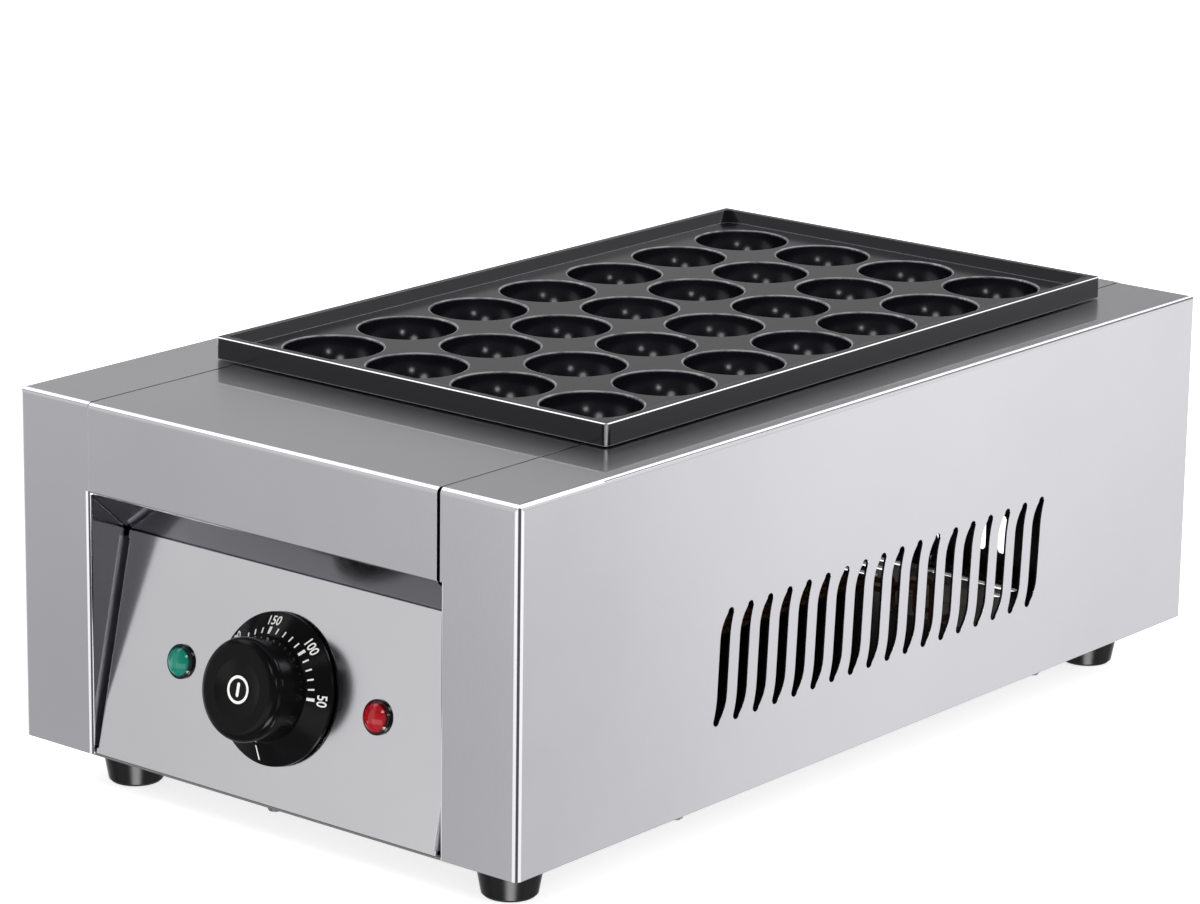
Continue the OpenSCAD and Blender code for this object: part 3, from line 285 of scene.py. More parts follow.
def cast_skin_group():
    """Fine orange-peel skin of a casting or moulding and its uneven sheen."""
    group, source, sink = new_group(
        "takoyaki_cast_skin", (("Peel", 1500.0), ("Gloss", 0.3), ("Spread", 0.12)),
        ("Height", "Roughness", "Tone"))
    group.links.new(noise(group, source.outputs["Peel"], rough=0.55), sink.inputs["Height"])
    cloud = noise(group, SHEEN_WAVES, detail=4.0, rough=0.6)
    spread = math_node(group, "MULTIPLY", math_node(group, "SUBTRACT", cloud, 0.5), source.outputs["Spread"])
    group.links.new(math_node(group, "ADD", spread, source.outputs["Gloss"]), sink.inputs["Roughness"])
    group.links.new(map_range(group, cloud, *SKIN_TONE), sink.inputs["Tone"])
    return group

GROUPS = {}


def shared(name):
    """Builds a shared node group once."""
    makers = {"edge": edge_wear_and_highlight_group, "sheet": sheet_group, "cast": cast_skin_group}
    if name not in GROUPS:
        GROUPS[name] = makers[name]()
    return GROUPS[name]


class Finish:
    """One procedural material: its node tree, its shader and the shared groups placed in it."""

    def __init__(self, name):
        self.material = bpy.data.materials.new(name)
        self.material.use_nodes = True
        self.tree = self.material.node_tree
        self.shader = next(n for n in self.tree.nodes if n.type == "BSDF_PRINCIPLED")

    def set(self, **values):
        """Constants on the shader's own sockets, colours as three numbers."""
        for label, value in values.items():
            socket = self.shader.inputs[label.replace("_", " ")]
            socket.default_value = (*value, 1) if hasattr(value, "__len__") and len(value) == 3 else value
        return self

    def place(self, name, **values):
        """A shared group with its values set; returns its outputs."""
        node = self.tree.nodes.new("ShaderNodeGroup")
        node.node_tree = shared(name)
        for label, value in values.items():
            node.inputs[label].default_value = value
        return node.outputs

    def mix(self, mask, low, high):
        """A colour between two, each a socket or three numbers."""
        node = self.tree.nodes.new("ShaderNodeMix")
        node.data_type = "RGBA"
        self.tree.links.new(mask, node.inputs["Factor"])
        for label, value in (("A", low), ("B", high)):
            socket = next(s for s in node.inputs if s.name == label and s.type == "RGBA")
            plug(self.tree, value if hasattr(value, "is_linked") else (*value, 1), socket)
        return next(s for s in node.outputs if s.type == "RGBA")

    def feed(self, label, socket):
        self.tree.links.new(socket, self.shader.inputs[label])
        return self

    def bump(self, height, strength, distance, rounded=0.0):
        """Relief from a height, on edges rounded by the given radius."""
        node = self.tree.nodes.new("ShaderNodeBump")
        node.inputs["Strength"].default_value = strength
        node.inputs["Distance"].default_value = distance
        if rounded:
            soft = self.tree.nodes.new("ShaderNodeBevel")
            soft.samples = BEVEL_SAMPLES
            soft.inputs["Radius"].default_value = rounded
            self.tree.links.new(soft.outputs["Normal"], node.inputs["Normal"])
        self.tree.links.new(height, node.inputs["Height"])
        self.feed("Normal", node.outputs["Normal"])


def toned(colour, share):
    """A colour made darker, or paler where the share is over 1."""
    return tuple(c * share for c in colour)


def body_inside(tree):
    """Mask of what lies inside the body, under its skin and behind the controls, where painted shade goes."""
    left, right, rear = (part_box(name) for name in ("left_side_panel", "right_side_panel", "rear_cover"))
    here = xyz(tree, row_place(tree))
    middle, half = (left[0][0] + right[1][0]) / 2, (right[1][0] - left[0][0]) / 2
    across = math_node(tree, "ABSOLUTE", math_node(tree, "SUBTRACT", here["X"], middle))
    deep = math_node(tree, "SUBTRACT", half, across)
    for high, way in ((right[1][2], "Z"), (rear[1][1], "Y")):
        deep = math_node(tree, "MINIMUM", deep, math_node(tree, "SUBTRACT", high, here[way]))
    behind = math_node(tree, "GREATER_THAN", here["Y"], left[0][1] + BEHIND_CONTROLS)
    return math_node(tree, "MULTIPLY", map_range(tree, deep, *SKIN_DEPTH), behind)


# Haze of handling and cleaning: the normal's part that names the faces, where it starts and is full, how
# much roughness it adds, and whether a clear gloss lies over it.
TOP_HAZE = ("Z", 0.94, 0.99, 0.23, True)
FOLD_HAZE = ("X", 0.08, 0.25, 0.45, False)
CLEAR_GLOSS = 0.03
# Painted shade as the colour inside the body, with added roughness there, colour under the smudges, and the
# height of the sheet's waves.
INSIDE_PAINTED_SHADE = 0.08
INSIDE_ROUGH = 0.4
SMUDGE_TONE = 0.96
WAVE_HEIGHT = 0.18 * MM
# Colour of the duller patches of a moulding, of the coating and of a lens, then of a lens's shaded edge, and
# of the dial's cap beside the dial's own.
PATCH_TONE = 0.85
COATING_TONE = 0.8
LENS_TONE = 0.8
LENS_EDGE_TONE = 0.12
CAP_TONE = 1.2


def steel_finish(name, colour, gloss=0.07, waves=6.0, haze=None, dull_and_shaded_inside=False):
    """Metal sheet whose cut edges and folds catch the light; haze dulls the faces it names, and painted shade
    darkens it inside the body.
    """
    finish = Finish(name).set(Metallic=1.0)
    tree = finish.tree
    sheet = finish.place("sheet", Waves=waves, Gloss=gloss)
    rough = sheet["Roughness"]
    if haze:
        way, start, full, extra, coat = haze
        normal = xyz(tree, tree.nodes.new("ShaderNodeNewGeometry").outputs["Normal"])
        dull = map_range(tree, math_node(tree, "ABSOLUTE", normal[way]), start, full)
        rough = math_node(tree, "ADD", rough, math_node(tree, "MULTIPLY", dull, extra))
        if coat:
            finish.feed("Coat Weight", dull).set(Coat_Roughness=CLEAR_GLOSS)
    base = finish.mix(sheet["Tone"], toned(colour, SMUDGE_TONE), colour)
    # Painted shade: inside the body the sheet's colour is darkened and its roughness raised.
    if dull_and_shaded_inside:
        inside = body_inside(tree)
        base = finish.mix(inside, base, toned(colour, INSIDE_PAINTED_SHADE))
        rough = math_node(tree, "ADD", rough, math_node(tree, "MULTIPLY", inside, INSIDE_ROUGH))
    finish.feed("Base Color", base).feed("Roughness", rough)
    finish.bump(sheet["Height"], strength=1.0, distance=WAVE_HEIGHT, rounded=CUT_EDGE)
    return finish.material


def moulded_finish(name, colour, gloss, spread=0.1, peel=1200.0, worn=None, sheen=0.5):
    """Plastic, rubber, ceramic or print with a fine skin; its edges are worn where a colour is given."""
    finish = Finish(name).set(Metallic=0.0, Specular_IOR_Level=sheen)
    skin = finish.place("cast", Peel=peel, Gloss=gloss, Spread=spread)
    base = finish.mix(skin["Tone"], toned(colour, PATCH_TONE), colour)
    if worn is not None:
        edge = finish.place("edge", Radius=0.5 * MM, Amount=3.0, Breakup=0.9)
        base = finish.mix(edge["Mask"], base, worn)
    finish.feed("Base Color", base).feed("Roughness", skin["Roughness"])
    finish.bump(skin["Height"], strength=0.6, distance=0.01 * MM)
    return finish.material


def dress(names, material):
    """Gives CAD nodes a material."""
    for name in names:
        slots = NODES[name].data.materials
        slots.clear()
        slots.append(material)


# ---------------------------------------------------------------- mesh helpers

def on_panel(right, up, out):
    """Row-frame point at metres from the dial's centre on the panel."""
    return DIAL_AT + PANEL_RIGHT * right + PANEL_UP * up + PANEL_OUT * out


def cone_height(radius):
    share = (SKIRT_RIM[0] - radius) / (SKIRT_RIM[0] - SKIRT_TOP[0])
    return SKIRT_RIM[1] + (SKIRT_TOP[1] - SKIRT_RIM[1]) * share


def on_skirt(radius, angle, lift):
    """Point on the skirt's cone, lifted off it."""
    return on_panel(radius * math.cos(angle), radius * math.sin(angle), cone_height(radius) + lift)


def add_piece(name, verts, faces, body, slot, material):
    """A mesh piece in the row frame that rides on a body."""
    mesh = bpy.data.meshes.new(name)
    mesh.from_pydata(verts, [], faces)
    mesh.validate()
    mesh.materials.append(material)
    piece = bpy.data.objects.new(name, mesh)
    bpy.context.scene.collection.objects.link(piece)
    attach(piece, body)


def skirt_patch(near, far, start, end, lift):
    """Points and faces of a thin mark on the cone, between two radii and two angles, sunk half its lift."""
    corners = [(radius, angle) for radius in (near, far) for angle in (start, end)]
    verts = [on_skirt(radius, angle, layer) for layer in (lift, -lift / 2) for radius, angle in corners]
    faces = [(0, 2, 3, 1), (4, 5, 7, 6), (0, 1, 5, 4), (1, 3, 7, 5), (3, 2, 6, 7), (2, 0, 4, 6)]
    return verts, faces


def gather(parts):
    """Joins lists of (verts, faces) into one."""
    verts, faces = [], []
    for v, f in parts:
        start = len(verts)
        verts += v
        faces += [tuple(i + start for i in face) for face in f]
    return verts, faces


def number_outline(text, tall):
    """Verts and faces of a number, flat and centred both ways."""
    curve = bpy.data.curves.new("number", "FONT")
    curve.body = text
    curve.size = tall * FONT_SIZE
    curve.align_x = "CENTER"
    curve.offset = tall * FONT_BOLD
    curve.resolution_u = FONT_STEPS
    holder = bpy.data.objects.new("number", curve)
    bpy.context.scene.collection.objects.link(holder)
    bpy.context.view_layer.update()
    mesh = bpy.data.meshes.new_from_object(holder.evaluated_get(bpy.context.evaluated_depsgraph_get()))
    verts = [v.co.copy() for v in mesh.vertices]
    faces = [tuple(p.vertices) for p in mesh.polygons]
    middle = (max(v.y for v in verts) + min(v.y for v in verts)) / 2
    for v in verts:
        v.y -= middle
    bpy.data.objects.remove(holder)
    bpy.data.curves.remove(curve)
    bpy.data.meshes.remove(mesh)
    return verts, faces


# ---------------------------------------------------------------- operators

class TAKOYAKI_OT_sheet_metal(bpy.types.Operator):
    """Finish the folded stainless sheets"""

    bl_idname = "takoyaki.sheet_metal"
    bl_label = "Sheet metal"

    def execute(self, context):
        colours = context.scene.takoyaki_colours
        steel = steel_finish("polished_stainless", colours.steel, haze=TOP_HAZE, dull_and_shaded_inside=True)
        panel = steel_finish("panel_stainless", colours.panel, gloss=0.13, waves=4.0, haze=FOLD_HAZE)
        dress(("left_side_panel", "right_side_panel", "front_cover", "rear_cover"), steel)
        dress(("control_panel",), panel)
        dress(("base_plate",), steel_finish("base_stainless", colours.base, gloss=0.34))
        return {"FINISHED"}


class TAKOYAKI_OT_mould_plate(bpy.types.Operator):
    """Finish the cast mould plate: dark coating, worn lips and edges that also carry a painted highlight, and
    a bare outer edge
    """

    bl_idname = "takoyaki.mould_plate"
    bl_label = "Mould plate"

    def execute(self, context):
        colours = context.scene.takoyaki_colours
        finish = Finish("coated_casting").set(Specular_IOR_Level=0.38)
        skin = finish.place("cast", Peel=1400.0, Gloss=0.17, Spread=0.06)
        # Worn coating on the edges and the cups' lips, which is also a painted highlight there.
        edge = finish.place("edge", Radius=0.8 * MM, Amount=7.0, Breakup=0.4)
        base = finish.mix(skin["Tone"], toned(colours.coating, COATING_TONE), colours.coating)
        base = finish.mix(edge["Mask"], base, colours.worn_and_highlight_edge)
        base = finish.mix(self.worn_and_highlit_cup_lips(finish.tree), base, colours.worn_and_highlight_edge)
        bare = self.bare_rim(finish.tree)
        finish.feed("Base Color", finish.mix(bare, base, colours.bare_edge))
        finish.feed("Metallic", bare)
        finish.feed("Roughness", skin["Roughness"])
        finish.bump(skin["Height"], strength=0.5, distance=0.02 * MM)
        dress(("mould_plate",), finish.material)
        return {"FINISHED"}

    def plate_place(self, tree):
        """Offsets from the plate's middle, distances in from its sides, and depth below the rim's top."""
        low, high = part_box("mould_plate")
        here = xyz(tree, row_place(tree))
        offsets, inward = [], []
        for way, k in (("X", 0), ("Y", 1)):
            off = math_node(tree, "SUBTRACT", here[way], (low[k] + high[k]) / 2)
            away = math_node(tree, "ABSOLUTE", off)
            offsets.append(off)
            inward.append(math_node(tree, "SUBTRACT", (high[k] - low[k]) / 2, away))
        return offsets, inward, math_node(tree, "SUBTRACT", high[2], here["Z"])

    def worn_and_highlit_cup_lips(self, tree):
        """Mask of the worn lip round each cup, which is also a painted highlight, broken up by noise."""
        offsets, inward, down = self.plate_place(tree)
        squares = []
        # Across the plate its middle lies between two cups, and along it on a cup.
        for off, pitch, shift in zip(offsets, CUP_PITCH, (0.0, 0.5)):
            turns = math_node(tree, "ADD", math_node(tree, "DIVIDE", off, pitch), shift)
            from_axis = math_node(tree, "SUBTRACT", math_node(tree, "FRACT", turns), 0.5)
            squares.append(math_node(tree, "POWER", math_node(tree, "MULTIPLY", from_axis, pitch), 2.0))
        radius = math_node(tree, "SQRT", math_node(tree, "ADD", *squares))
        beside = math_node(tree, "ABSOLUTE", math_node(tree, "SUBTRACT", radius, CUP_LIP))
        ring = map_range(tree, beside, *LIP_LINE, 1.0, 0.0)
        top = math_node(tree, "LESS_THAN", down, TRAY_DEPTH + LIP_DROP)
        clear = math_node(tree, "GREATER_THAN", math_node(tree, "MINIMUM", *inward), CUPS_BEGIN)
        broken = map_range(tree, noise(tree, CHIP_WAVES), *CHIPS, CHIP_LEAST, 1.0)
        return math_node(tree, "MULTIPLY", math_node(tree, "MULTIPLY", ring, broken),
                         math_node(tree, "MULTIPLY", top, clear))

    def bare_rim(self, tree):
        """Mask of the polished line along the rim's outer top edge and down its upright corners."""
        _, inward, down = self.plate_place(tree)
        edge = math_node(tree, "MAXIMUM", math_node(tree, "MINIMUM", *inward), down)
        top_line = map_range(tree, edge, *RIM_LINE, 1.0, 0.0)
        corner = map_range(tree, math_node(tree, "ADD", *inward), *CORNER_LINE, 0.7, 0.0)
        return math_node(tree, "MAXIMUM", top_line, corner)


class TAKOYAKI_OT_dial(bpy.types.Operator):
    """Finish the dial and print its scale, numbers and ring"""

    bl_idname = "takoyaki.dial"
    bl_label = "Dial"

    def execute(self, context):
        sizes = context.scene.takoyaki_sizes
        colours = context.scene.takoyaki_colours
        black = moulded_finish("black_phenolic", colours.phenolic, gloss=0.17, worn=colours.rubbed, sheen=0.1)
        cap = moulded_finish("cap_phenolic", toned(colours.phenolic, CAP_TONE), gloss=0.3, sheen=0.12)
        ink = moulded_finish("scale_ink", colours.scale_print, gloss=0.5, spread=0.2, peel=2500.0)
        dress(("dial_skirt", "knob_grip"), black)
        dress(("knob_cap",), cap)
        self.add_marks(sizes, ink)
        self.add_numbers(sizes, ink)
        self.add_cap_mark(sizes, ink)
        return {"FINISHED"}

    def add_marks(self, sizes, ink):
        """The scale's marks, longer and wider at the numbers, and the line that marks off."""
        mid, lift = sizes.tick_mid, sizes.print_lift
        marks = []
        for k in range((sizes.scale_numbers - 1) * MARKS_PER_NUMBER + 1):
            at_number = k % MARKS_PER_NUMBER == 0
            reach = sizes.tick_long * (LONG_MARK if at_number else 1.0) / 2
            half = sizes.tick_wide * (WIDE_MARK if at_number else 1.0) / 2 / mid
            angle = sizes.scale_first + sizes.scale_step * k / MARKS_PER_NUMBER
            marks.append(skirt_patch(mid - reach, mid + reach, angle - half, angle + half, lift))
        half = sizes.tick_wide * OFF_LINE_HALF / mid
        marks.append(skirt_patch(*OFF_LINE, sizes.off_angle - half, sizes.off_angle + half, lift))
        add_piece("dial_ticks", *gather(marks), "dial", "dial_black", ink)

    def add_numbers(self, sizes, ink):
        """The numbers, bent round the skirt's cone."""
        mid = sizes.number_mid
        for k in range(sizes.scale_numbers):
            text = str(DEGREES_PER_NUMBER * (k + 1))
            angle = sizes.scale_first + sizes.scale_step * k
            flat, faces = number_outline(text, sizes.number_tall)
            verts = [on_skirt(mid + v.y, angle - v.x / mid, sizes.print_lift) for v in flat]
            add_piece(f"dial_number_{text}", verts, faces, "dial", "dial_black", ink)

    def add_cap_mark(self, sizes, ink):
        """A ring with an upright bar, printed on the cap."""
        steps, end_steps = 48, 16
        flat = []
        for radius in (sizes.ring_radius, sizes.ring_radius - RING_WIDE):
            for k in range(steps):
                angle = 2 * math.pi * k / steps
                flat.append((radius * math.cos(angle), radius * math.sin(angle)))
        faces = [(k, (k + 1) % steps, steps + (k + 1) % steps, steps + k) for k in range(steps)]
        radius, reach = BAR_HALF
        for turn, middle in ((0, reach), (math.pi, -reach)):
            for k in range(end_steps):
                angle = turn + math.pi * k / (end_steps - 1)
                flat.append((radius * math.cos(angle), middle + radius * math.sin(angle)))
        faces.append(tuple(range(2 * steps, len(flat))))
        verts = [on_panel(x, y, CAP_FACE + sizes.print_lift) for x, y in flat]
        add_piece("cap_mark", verts, faces, "dial", "cap_black", ink)


class TAKOYAKI_OT_lamps(bpy.types.Operator):
    """Finish the two pilot lamps"""

    bl_idname = "takoyaki.lamps"
    bl_label = "Lamps"

    def execute(self, context):
        colours = context.scene.takoyaki_colours
        bezel = moulded_finish("lamp_bezel", colours.bezel, gloss=0.16, spread=0.05, sheen=0.28)
        dress(("green_lamp_body", "red_lamp_body", "green_lamp_nut", "red_lamp_nut"), bezel)
        for name, colour in (("green", colours.green), ("red", colours.red)):
            finish = Finish(f"{name}_lens").set(Metallic=0.0, Specular_IOR_Level=0.5)
            skin = finish.place("cast", Peel=900.0, Gloss=0.07, Spread=0.04)
            base = finish.mix(skin["Tone"], toned(colour, LENS_TONE), colour)
            rim = self.lens_rim(finish.tree, f"{name}_lamp_lens")
            finish.feed("Base Color", finish.mix(rim, base, toned(colour, LENS_EDGE_TONE)))
            finish.feed("Roughness", skin["Roughness"])
            dress((f"{name}_lamp_lens",), finish.material)
        return {"FINISHED"}

    def lens_rim(self, tree, node):
        """Mask of the dark ring round a lens, where the bezel shades it."""
        low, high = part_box(node)
        away = vector_node(tree, "SUBTRACT", row_place(tree), (Vector(low) + Vector(high)) / 2)
        across = vector_node(tree, "CROSS_PRODUCT", away, PANEL_OUT)
        return map_range(tree, vector_node(tree, "LENGTH", across, result="Value"), *LENS_SHADE)


class TAKOYAKI_OT_feet(bpy.types.Operator):
    """Finish the rubber feet"""

    bl_idname = "takoyaki.feet"
    bl_label = "Feet"

    def execute(self, context):
        rubber = moulded_finish("foot_rubber", context.scene.takoyaki_colours.rubber, gloss=0.28, sheen=0.38)
        dress(("foot_front_left", "foot_front_right", "foot_back_left", "foot_back_right"), rubber)
        return {"FINISHED"}


# What is hidden or small. Metals: colour, roughness, waves per metre and nodes.
METALS = (
    ("bright_plating", (0.72, 0.72, 0.72), 0.18, 60.0,
     ("foot_screws", "foot_nuts", "base_screws", "back_screws", "heater_pins", "thermostat_screws",
      "thermostat_shaft")),
    ("zinc_plating", (0.52, 0.54, 0.56), 0.34, 40.0,
     ("plate_studs", "plate_nuts", "front_bracket", "rear_bracket", "heater_bars", "bulb_clip")),
    # Dark partly from heat tint and partly painted shade, so the inside seen through the slots is black.
    ("heat_tinted_and_shaded_sheet", (0.14, 0.14, 0.145), 0.42, 12.0, ("heat_shield", "bulkhead")),
    ("heater_sheath", (0.1, 0.11, 0.11), 0.45, 50.0, ("left_heater", "right_heater")),
    ("bare_copper", (0.75, 0.4, 0.26), 0.26, 60.0, ("capillary_tube", "sensing_bulb")),
    ("bare_brass", (0.76, 0.56, 0.27), 0.26, 60.0, ("terminal_screws",)),
)
# Mouldings, ceramic and the sleeves of the wires: colour, roughness and nodes.
MOULDINGS = (
    ("black_nylon", (0.012, 0.012, 0.013), 0.42, ("cable_gland", "gland_nut")),
    ("white_ceramic", (0.72, 0.7, 0.63), 0.5, ("heater_bushes", "terminal_block", "thermostat")),
    ("brown_sleeve", (0.2, 0.09, 0.04), 0.5, ("panel_leads",)),
    ("red_sleeve", (0.45, 0.03, 0.02), 0.5, ("heater_leads",)),
    ("blue_sleeve", (0.03, 0.07, 0.35), 0.5, ("lamp_link",)),
)


class TAKOYAKI_OT_fittings(bpy.types.Operator):
    """Finish the screws, the cable gland and everything inside the body"""

    bl_idname = "takoyaki.fittings"
    bl_label = "Screws, gland and inner parts"

    def execute(self, context):
        for name, colour, gloss, waves, nodes in METALS:
            dress(nodes, steel_finish(name, colour, gloss, waves))
        for name, colour, gloss, nodes in MOULDINGS:
            dress(nodes, moulded_finish(name, colour, gloss))
        return {"FINISHED"}


# ---------------------------------------------------------------- studio

# Studio light as grey levels. Round the horizon: share of a full turn from -X through -Y, +X and +Y.
# The first row lights what stands upright, the second what leans back or lies flat.
ROUND_LOW = (
    (0.0, 1.3), (0.05, 1.25), (0.095, 0.62), (0.119, 0.6), (0.14, 0.78), (0.152, 0.9), (0.175, 1.55),
    (0.3, 1.55), (0.318, 1.3), (0.326, 0.14), (0.445, 0.14), (0.458, 1.3), (0.48, 1.6), (0.605, 1.6),
    (0.622, 0.9), (0.638, 0.86), (0.65, 1.12), (0.661, 1.0), (0.7, 0.9), (0.75, 0.85), (0.8, 1.3),
    (0.86, 1.5), (0.93, 1.4), (1.0, 1.3),
)
ROUND_HIGH = (
    (0.0, 0.5), (0.08, 0.62), (0.12, 0.78), (0.16, 0.8), (0.2, 0.3), (0.26, 0.16), (0.32, 0.18),
    (0.34, 0.22), (0.4, 0.22), (0.46, 0.16), (0.6, 0.24), (0.7, 0.38), (0.8, 0.34), (0.84, 0.37),
    (0.862, 0.45), (0.92, 0.46), (1.0, 0.5),
)
# Rise of the light's direction at which the second row starts to show and is full.
ROW_CHANGE = (-0.03, 0.06)
# From straight down (0) over the horizon (0.5) to overhead (1).
LEVELS = (
    (0.0, 0.2), (0.25, 0.2), (0.27, 0.22), (0.31, 0.86), (0.333, 0.88), (0.37, 1.0), (0.4, 1.06),
    (0.5, 1.0), (0.65, 1.0), (0.72, 0.5), (0.9, 0.12), (1.0, 0.06),
)
# Two soft boxes overhead, which the front and the right folds of the cover show as bright lines.
FRONT_BOX_ROUND = ((0.0, 1.0), (0.09, 1.0), (0.105, 0.03), (0.865, 0.03), (0.885, 1.0), (1.0, 1.0))
FRONT_BOX_LEVELS = ((0.0, 0.0), (0.79, 0.0), (0.81, 1.0), (0.9, 1.0), (0.94, 0.05), (1.0, 0.03))
SIDE_BOX_ROUND = ((0.0, 0.0), (0.655, 0.0), (0.675, 1.0), (0.815, 1.0), (0.835, 0.0), (1.0, 0.0))
SIDE_BOX_LEVELS = ((0.0, 0.0), (0.75, 0.0), (0.77, 1.0), (0.84, 1.0), (0.86, 0.0), (1.0, 0.0))
# A low glow in front, which shows in the feet alone.
GLOW_ROUND = ((0.0, 0.0), (0.3, 0.0), (0.345, 1.0), (0.4, 1.0), (0.45, 0.0), (1.0, 0.0))
GLOW_LEVELS = ((0.0, 0.0), (0.09, 0.0), (0.13, 1.0), (0.2, 1.0), (0.225, 0.0), (1.0, 0.0))
# Fill just below both boxes, so that the folds end without a dark line.
FRONT_FILL_ROUND = ((0.0, 0.0), (0.09, 0.0), (0.105, 1.0), (0.15, 1.0), (0.17, 0.0), (1.0, 0.0))
FRONT_FILL_LEVELS = ((0.0, 0.0), (0.6, 0.0), (0.7, 0.6), (0.74, 1.0), (0.83, 1.0), (0.85, 0.0), (1.0, 0.0))
SIDE_FILL_ROUND = ((0.0, 0.0), (0.625, 0.0), (0.635, 1.0), (0.672, 1.0), (0.685, 0.0), (1.0, 0.0))
SIDE_FILL_LEVELS = ((0.0, 0.0), (0.49, 0.0), (0.53, 0.9), (0.83, 1.0), (0.85, 0.0), (1.0, 0.0))
# All of them, each with its strength.
CARDS = (
    (FRONT_BOX_ROUND, FRONT_BOX_LEVELS, 1.8),
    (SIDE_BOX_ROUND, SIDE_BOX_LEVELS, 1.8),
    (FRONT_FILL_ROUND, FRONT_FILL_LEVELS, 0.5),
    (SIDE_FILL_ROUND, SIDE_FILL_LEVELS, 0.75),
    (GLOW_ROUND, GLOW_LEVELS, 14.0),
)

# A wide soft sun that doesn't show in reflections: strength, width and tilt.
SUN_POWER = 2.4
SUN_WIDTH = 110 * DEG
SUN_TILT = (12 * DEG, 22 * DEG, 0)
# Small lamps that give the cups, the dial and the lenses their bright spots: azimuth and rise in degrees,
# size in metres, watts; and how far off they stand.
SPARKS = (("spark_right", -38, 27.8, 0.3, 2.6), ("spark_left", -71, 42, 0.5, 4.2))
SPARK_AWAY = 2.2
# The floor's own glow, and how far it lies under the feet.
FLOOR_GLOW = 0.75
FLOOR_GAP = 0.4 * MM
# The photograph's view, fitted to the body's corners: the eye from the dial's centre, the directions to the
# right, up and ahead, and the focal length in picture widths.
EYE = (1.167747, -1.237494, 0.555949)
VIEW_RIGHT = (0.77182635, 0.63569187, 0.01341357)
VIEW_UP = (-0.17668309, 0.19415938, 0.96492757)
VIEW_AHEAD = (-0.61079224, 0.74712648, -0.26217333)
FOCAL_WIDTHS = 4702.106 / 1200.0
SENSOR = 36.0
FAR_CLIP = 60.0


def ramp(tree, value, stops):
    """Smooth curve through the stops (position, level), as a value."""
    node = tree.nodes.new("ShaderNodeFloatCurve")
    curve = node.mapping.curves[0]
    node.mapping.use_clip = False
    while len(curve.points) < len(stops):
        curve.points.new(0.5, 0.5)
    for point, (position, level) in zip(curve.points, stops):
        point.location = (position, level)
        point.handle_type = "AUTO_CLAMPED"
    node.mapping.update()
    tree.links.new(value, node.inputs["Value"])
    return node.outputs["Value"]


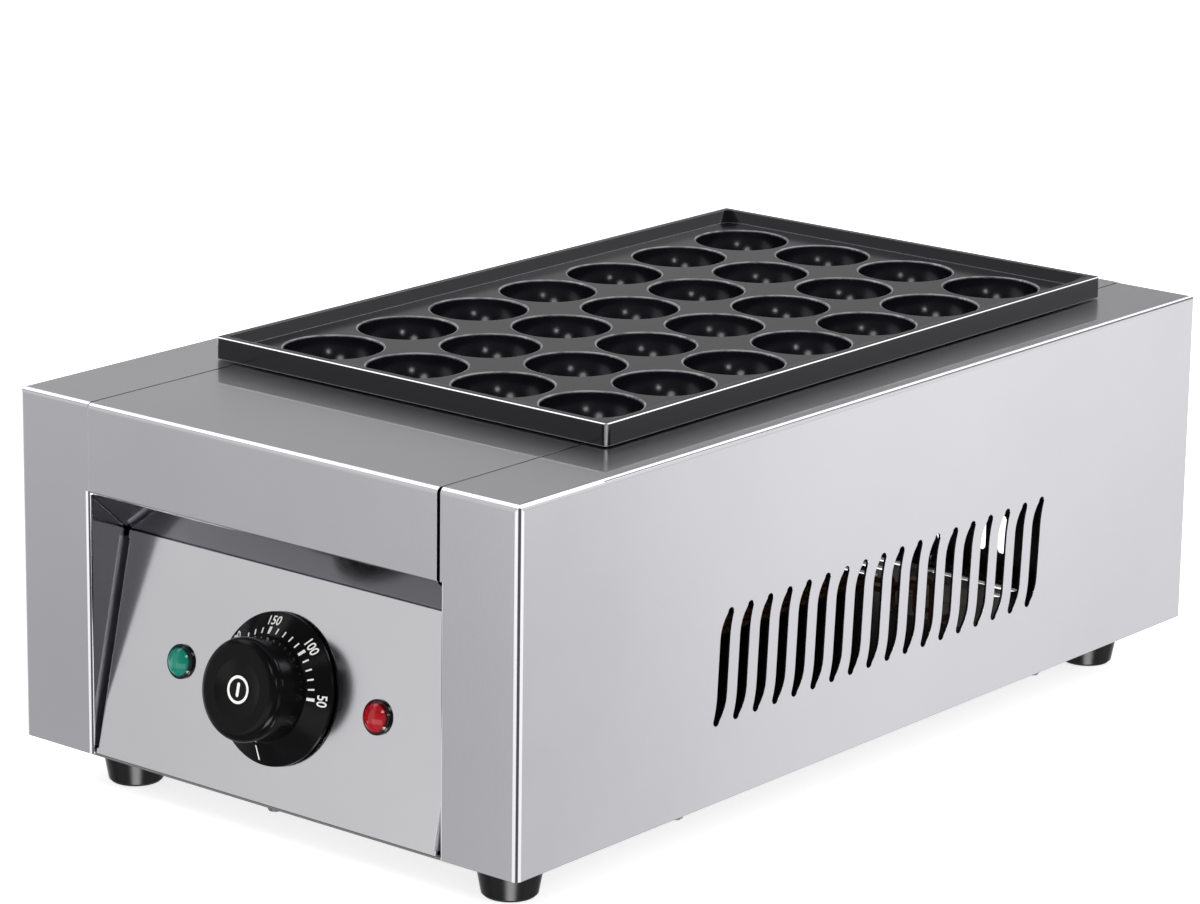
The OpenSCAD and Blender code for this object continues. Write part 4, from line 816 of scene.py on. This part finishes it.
class TAKOYAKI_OT_stage(bpy.types.Operator):
    """Set the floor, the soft studio light and the camera"""

    bl_idname = "takoyaki.stage"
    bl_label = "Studio"

    def execute(self, context):
        self.add_floor(context)
        self.set_world(context)
        self.add_lights(context)
        self.add_camera(context)
        return {"FINISHED"}

    def add_floor(self, context):
        half = context.scene.takoyaki_sizes.floor_size / 2
        finish = Finish("studio_floor").set(Base_Color=context.scene.takoyaki_colours.floor, Roughness=0.9)
        finish.set(Specular_IOR_Level=0.1, Emission_Color=(1.0, 1.0, 1.0), Emission_Strength=FLOOR_GLOW)
        mesh = bpy.data.meshes.new("studio_floor")
        corners = [(-half, -half, 0), (half, -half, 0), (half, half, 0), (-half, half, 0)]
        mesh.from_pydata(corners, [], [(0, 1, 2, 3)])
        mesh.materials.append(finish.material)
        floor = bpy.data.objects.new("studio_floor", mesh)
        floor.location.z = -FLOOR_GAP
        floor.visible_glossy = False
        context.scene.collection.objects.link(floor)

    def set_world(self, context):
        """Grey levels round the horizon and from below to overhead, with the cards added to them."""
        world = bpy.data.worlds.new("studio")
        context.scene.world = world
        world.use_nodes = True
        tree = world.node_tree
        way = xyz(tree, tree.nodes.new("ShaderNodeTexCoord").outputs["Generated"])
        angle = math_node(tree, "ARCTAN2", way["Y"], way["X"])
        turn = math_node(tree, "MULTIPLY_ADD", angle, 1 / (2 * math.pi), 0.5)
        height = math_node(tree, "MULTIPLY_ADD", way["Z"], 0.5, 0.5)
        low = ramp(tree, turn, ROUND_LOW)
        rise = math_node(tree, "SUBTRACT", ramp(tree, turn, ROUND_HIGH), low)
        lift = math_node(tree, "MULTIPLY", rise, map_range(tree, way["Z"], *ROW_CHANGE))
        total = math_node(tree, "MULTIPLY", math_node(tree, "ADD", low, lift), ramp(tree, height, LEVELS))
        for rounds, levels, strength in CARDS:
            patch = math_node(tree, "MULTIPLY", ramp(tree, turn, rounds), ramp(tree, height, levels))
            total = math_node(tree, "ADD", total, math_node(tree, "MULTIPLY", patch, strength))
        background = next(n for n in tree.nodes if n.type == "BACKGROUND")
        tree.links.new(total, background.inputs["Color"])

    def add_lights(self, context):
        """The soft sun and the two small lamps."""
        sun = bpy.data.lights.new("soft_sun", "SUN")
        sun.energy = SUN_POWER
        sun.angle = SUN_WIDTH
        lamp = bpy.data.objects.new("soft_sun", sun)
        lamp.rotation_euler = SUN_TILT
        lamp.visible_glossy = False
        context.scene.collection.objects.link(lamp)
        for name, azimuth, rise, size, power in SPARKS:
            light = bpy.data.lights.new(name, "AREA")
            light.shape = "DISK"
            light.size = size
            light.energy = power
            spark = bpy.data.objects.new(name, light)
            toward = Vector((math.cos(azimuth * DEG), math.sin(azimuth * DEG), math.tan(rise * DEG)))
            toward.normalize()
            spark.location = toward * SPARK_AWAY
            spark.rotation_euler = toward.to_track_quat("Z", "Y").to_euler()
            context.scene.collection.objects.link(spark)

    def add_camera(self, context):
        """Camera at the photograph's viewing angle."""
        data = bpy.data.cameras.new("photo_camera")
        data.sensor_fit = "HORIZONTAL"
        data.sensor_width = SENSOR
        data.lens = FOCAL_WIDTHS * SENSOR
        data.clip_end = FAR_CLIP
        camera = bpy.data.objects.new("photo_camera", data)
        turn = Matrix((Vector(VIEW_RIGHT), Vector(VIEW_UP), -Vector(VIEW_AHEAD))).transposed().to_4x4()
        camera.matrix_world = Matrix.Translation(DIAL_AT + Vector(EYE)) @ turn
        context.scene.collection.objects.link(camera)
        context.scene.camera = camera
        context.scene.view_settings.view_transform = "Standard"


STEPS = (
    TAKOYAKI_OT_sheet_metal,
    TAKOYAKI_OT_mould_plate,
    TAKOYAKI_OT_dial,
    TAKOYAKI_OT_lamps,
    TAKOYAKI_OT_feet,
    TAKOYAKI_OT_fittings,
    TAKOYAKI_OT_stage,
)


class TAKOYAKI_PT_maker(bpy.types.Panel):
    """Buttons and values of the takoyaki maker"""

    bl_idname = "TAKOYAKI_PT_maker"
    bl_label = "Takoyaki maker"
    bl_space_type = "VIEW_3D"
    bl_region_type = "UI"
    bl_category = "Takoyaki"

    def draw(self, context):
        for values in (context.scene.takoyaki_sizes, context.scene.takoyaki_colours):
            box = self.layout.box()
            for name in values.__annotations__:
                box.prop(values, name)
        for step in STEPS:
            self.layout.operator(step.bl_idname)


CLASSES = (TakoyakiSizes, TakoyakiColours, *STEPS, TAKOYAKI_PT_maker)


def register():
    for cls in CLASSES:
        bpy.utils.register_class(cls)
    bpy.types.Scene.takoyaki_sizes = PointerProperty(type=TakoyakiSizes)
    bpy.types.Scene.takoyaki_colours = PointerProperty(type=TakoyakiColours)


def unregister():
    del bpy.types.Scene.takoyaki_colours
    del bpy.types.Scene.takoyaki_sizes
    for cls in reversed(CLASSES):
        bpy.utils.unregister_class(cls)


def main():
    register()
    for step in STEPS:
        family, name = step.bl_idname.split(".")
        getattr(getattr(bpy.ops, family), name)()


if __name__ == "__main__":
    main()
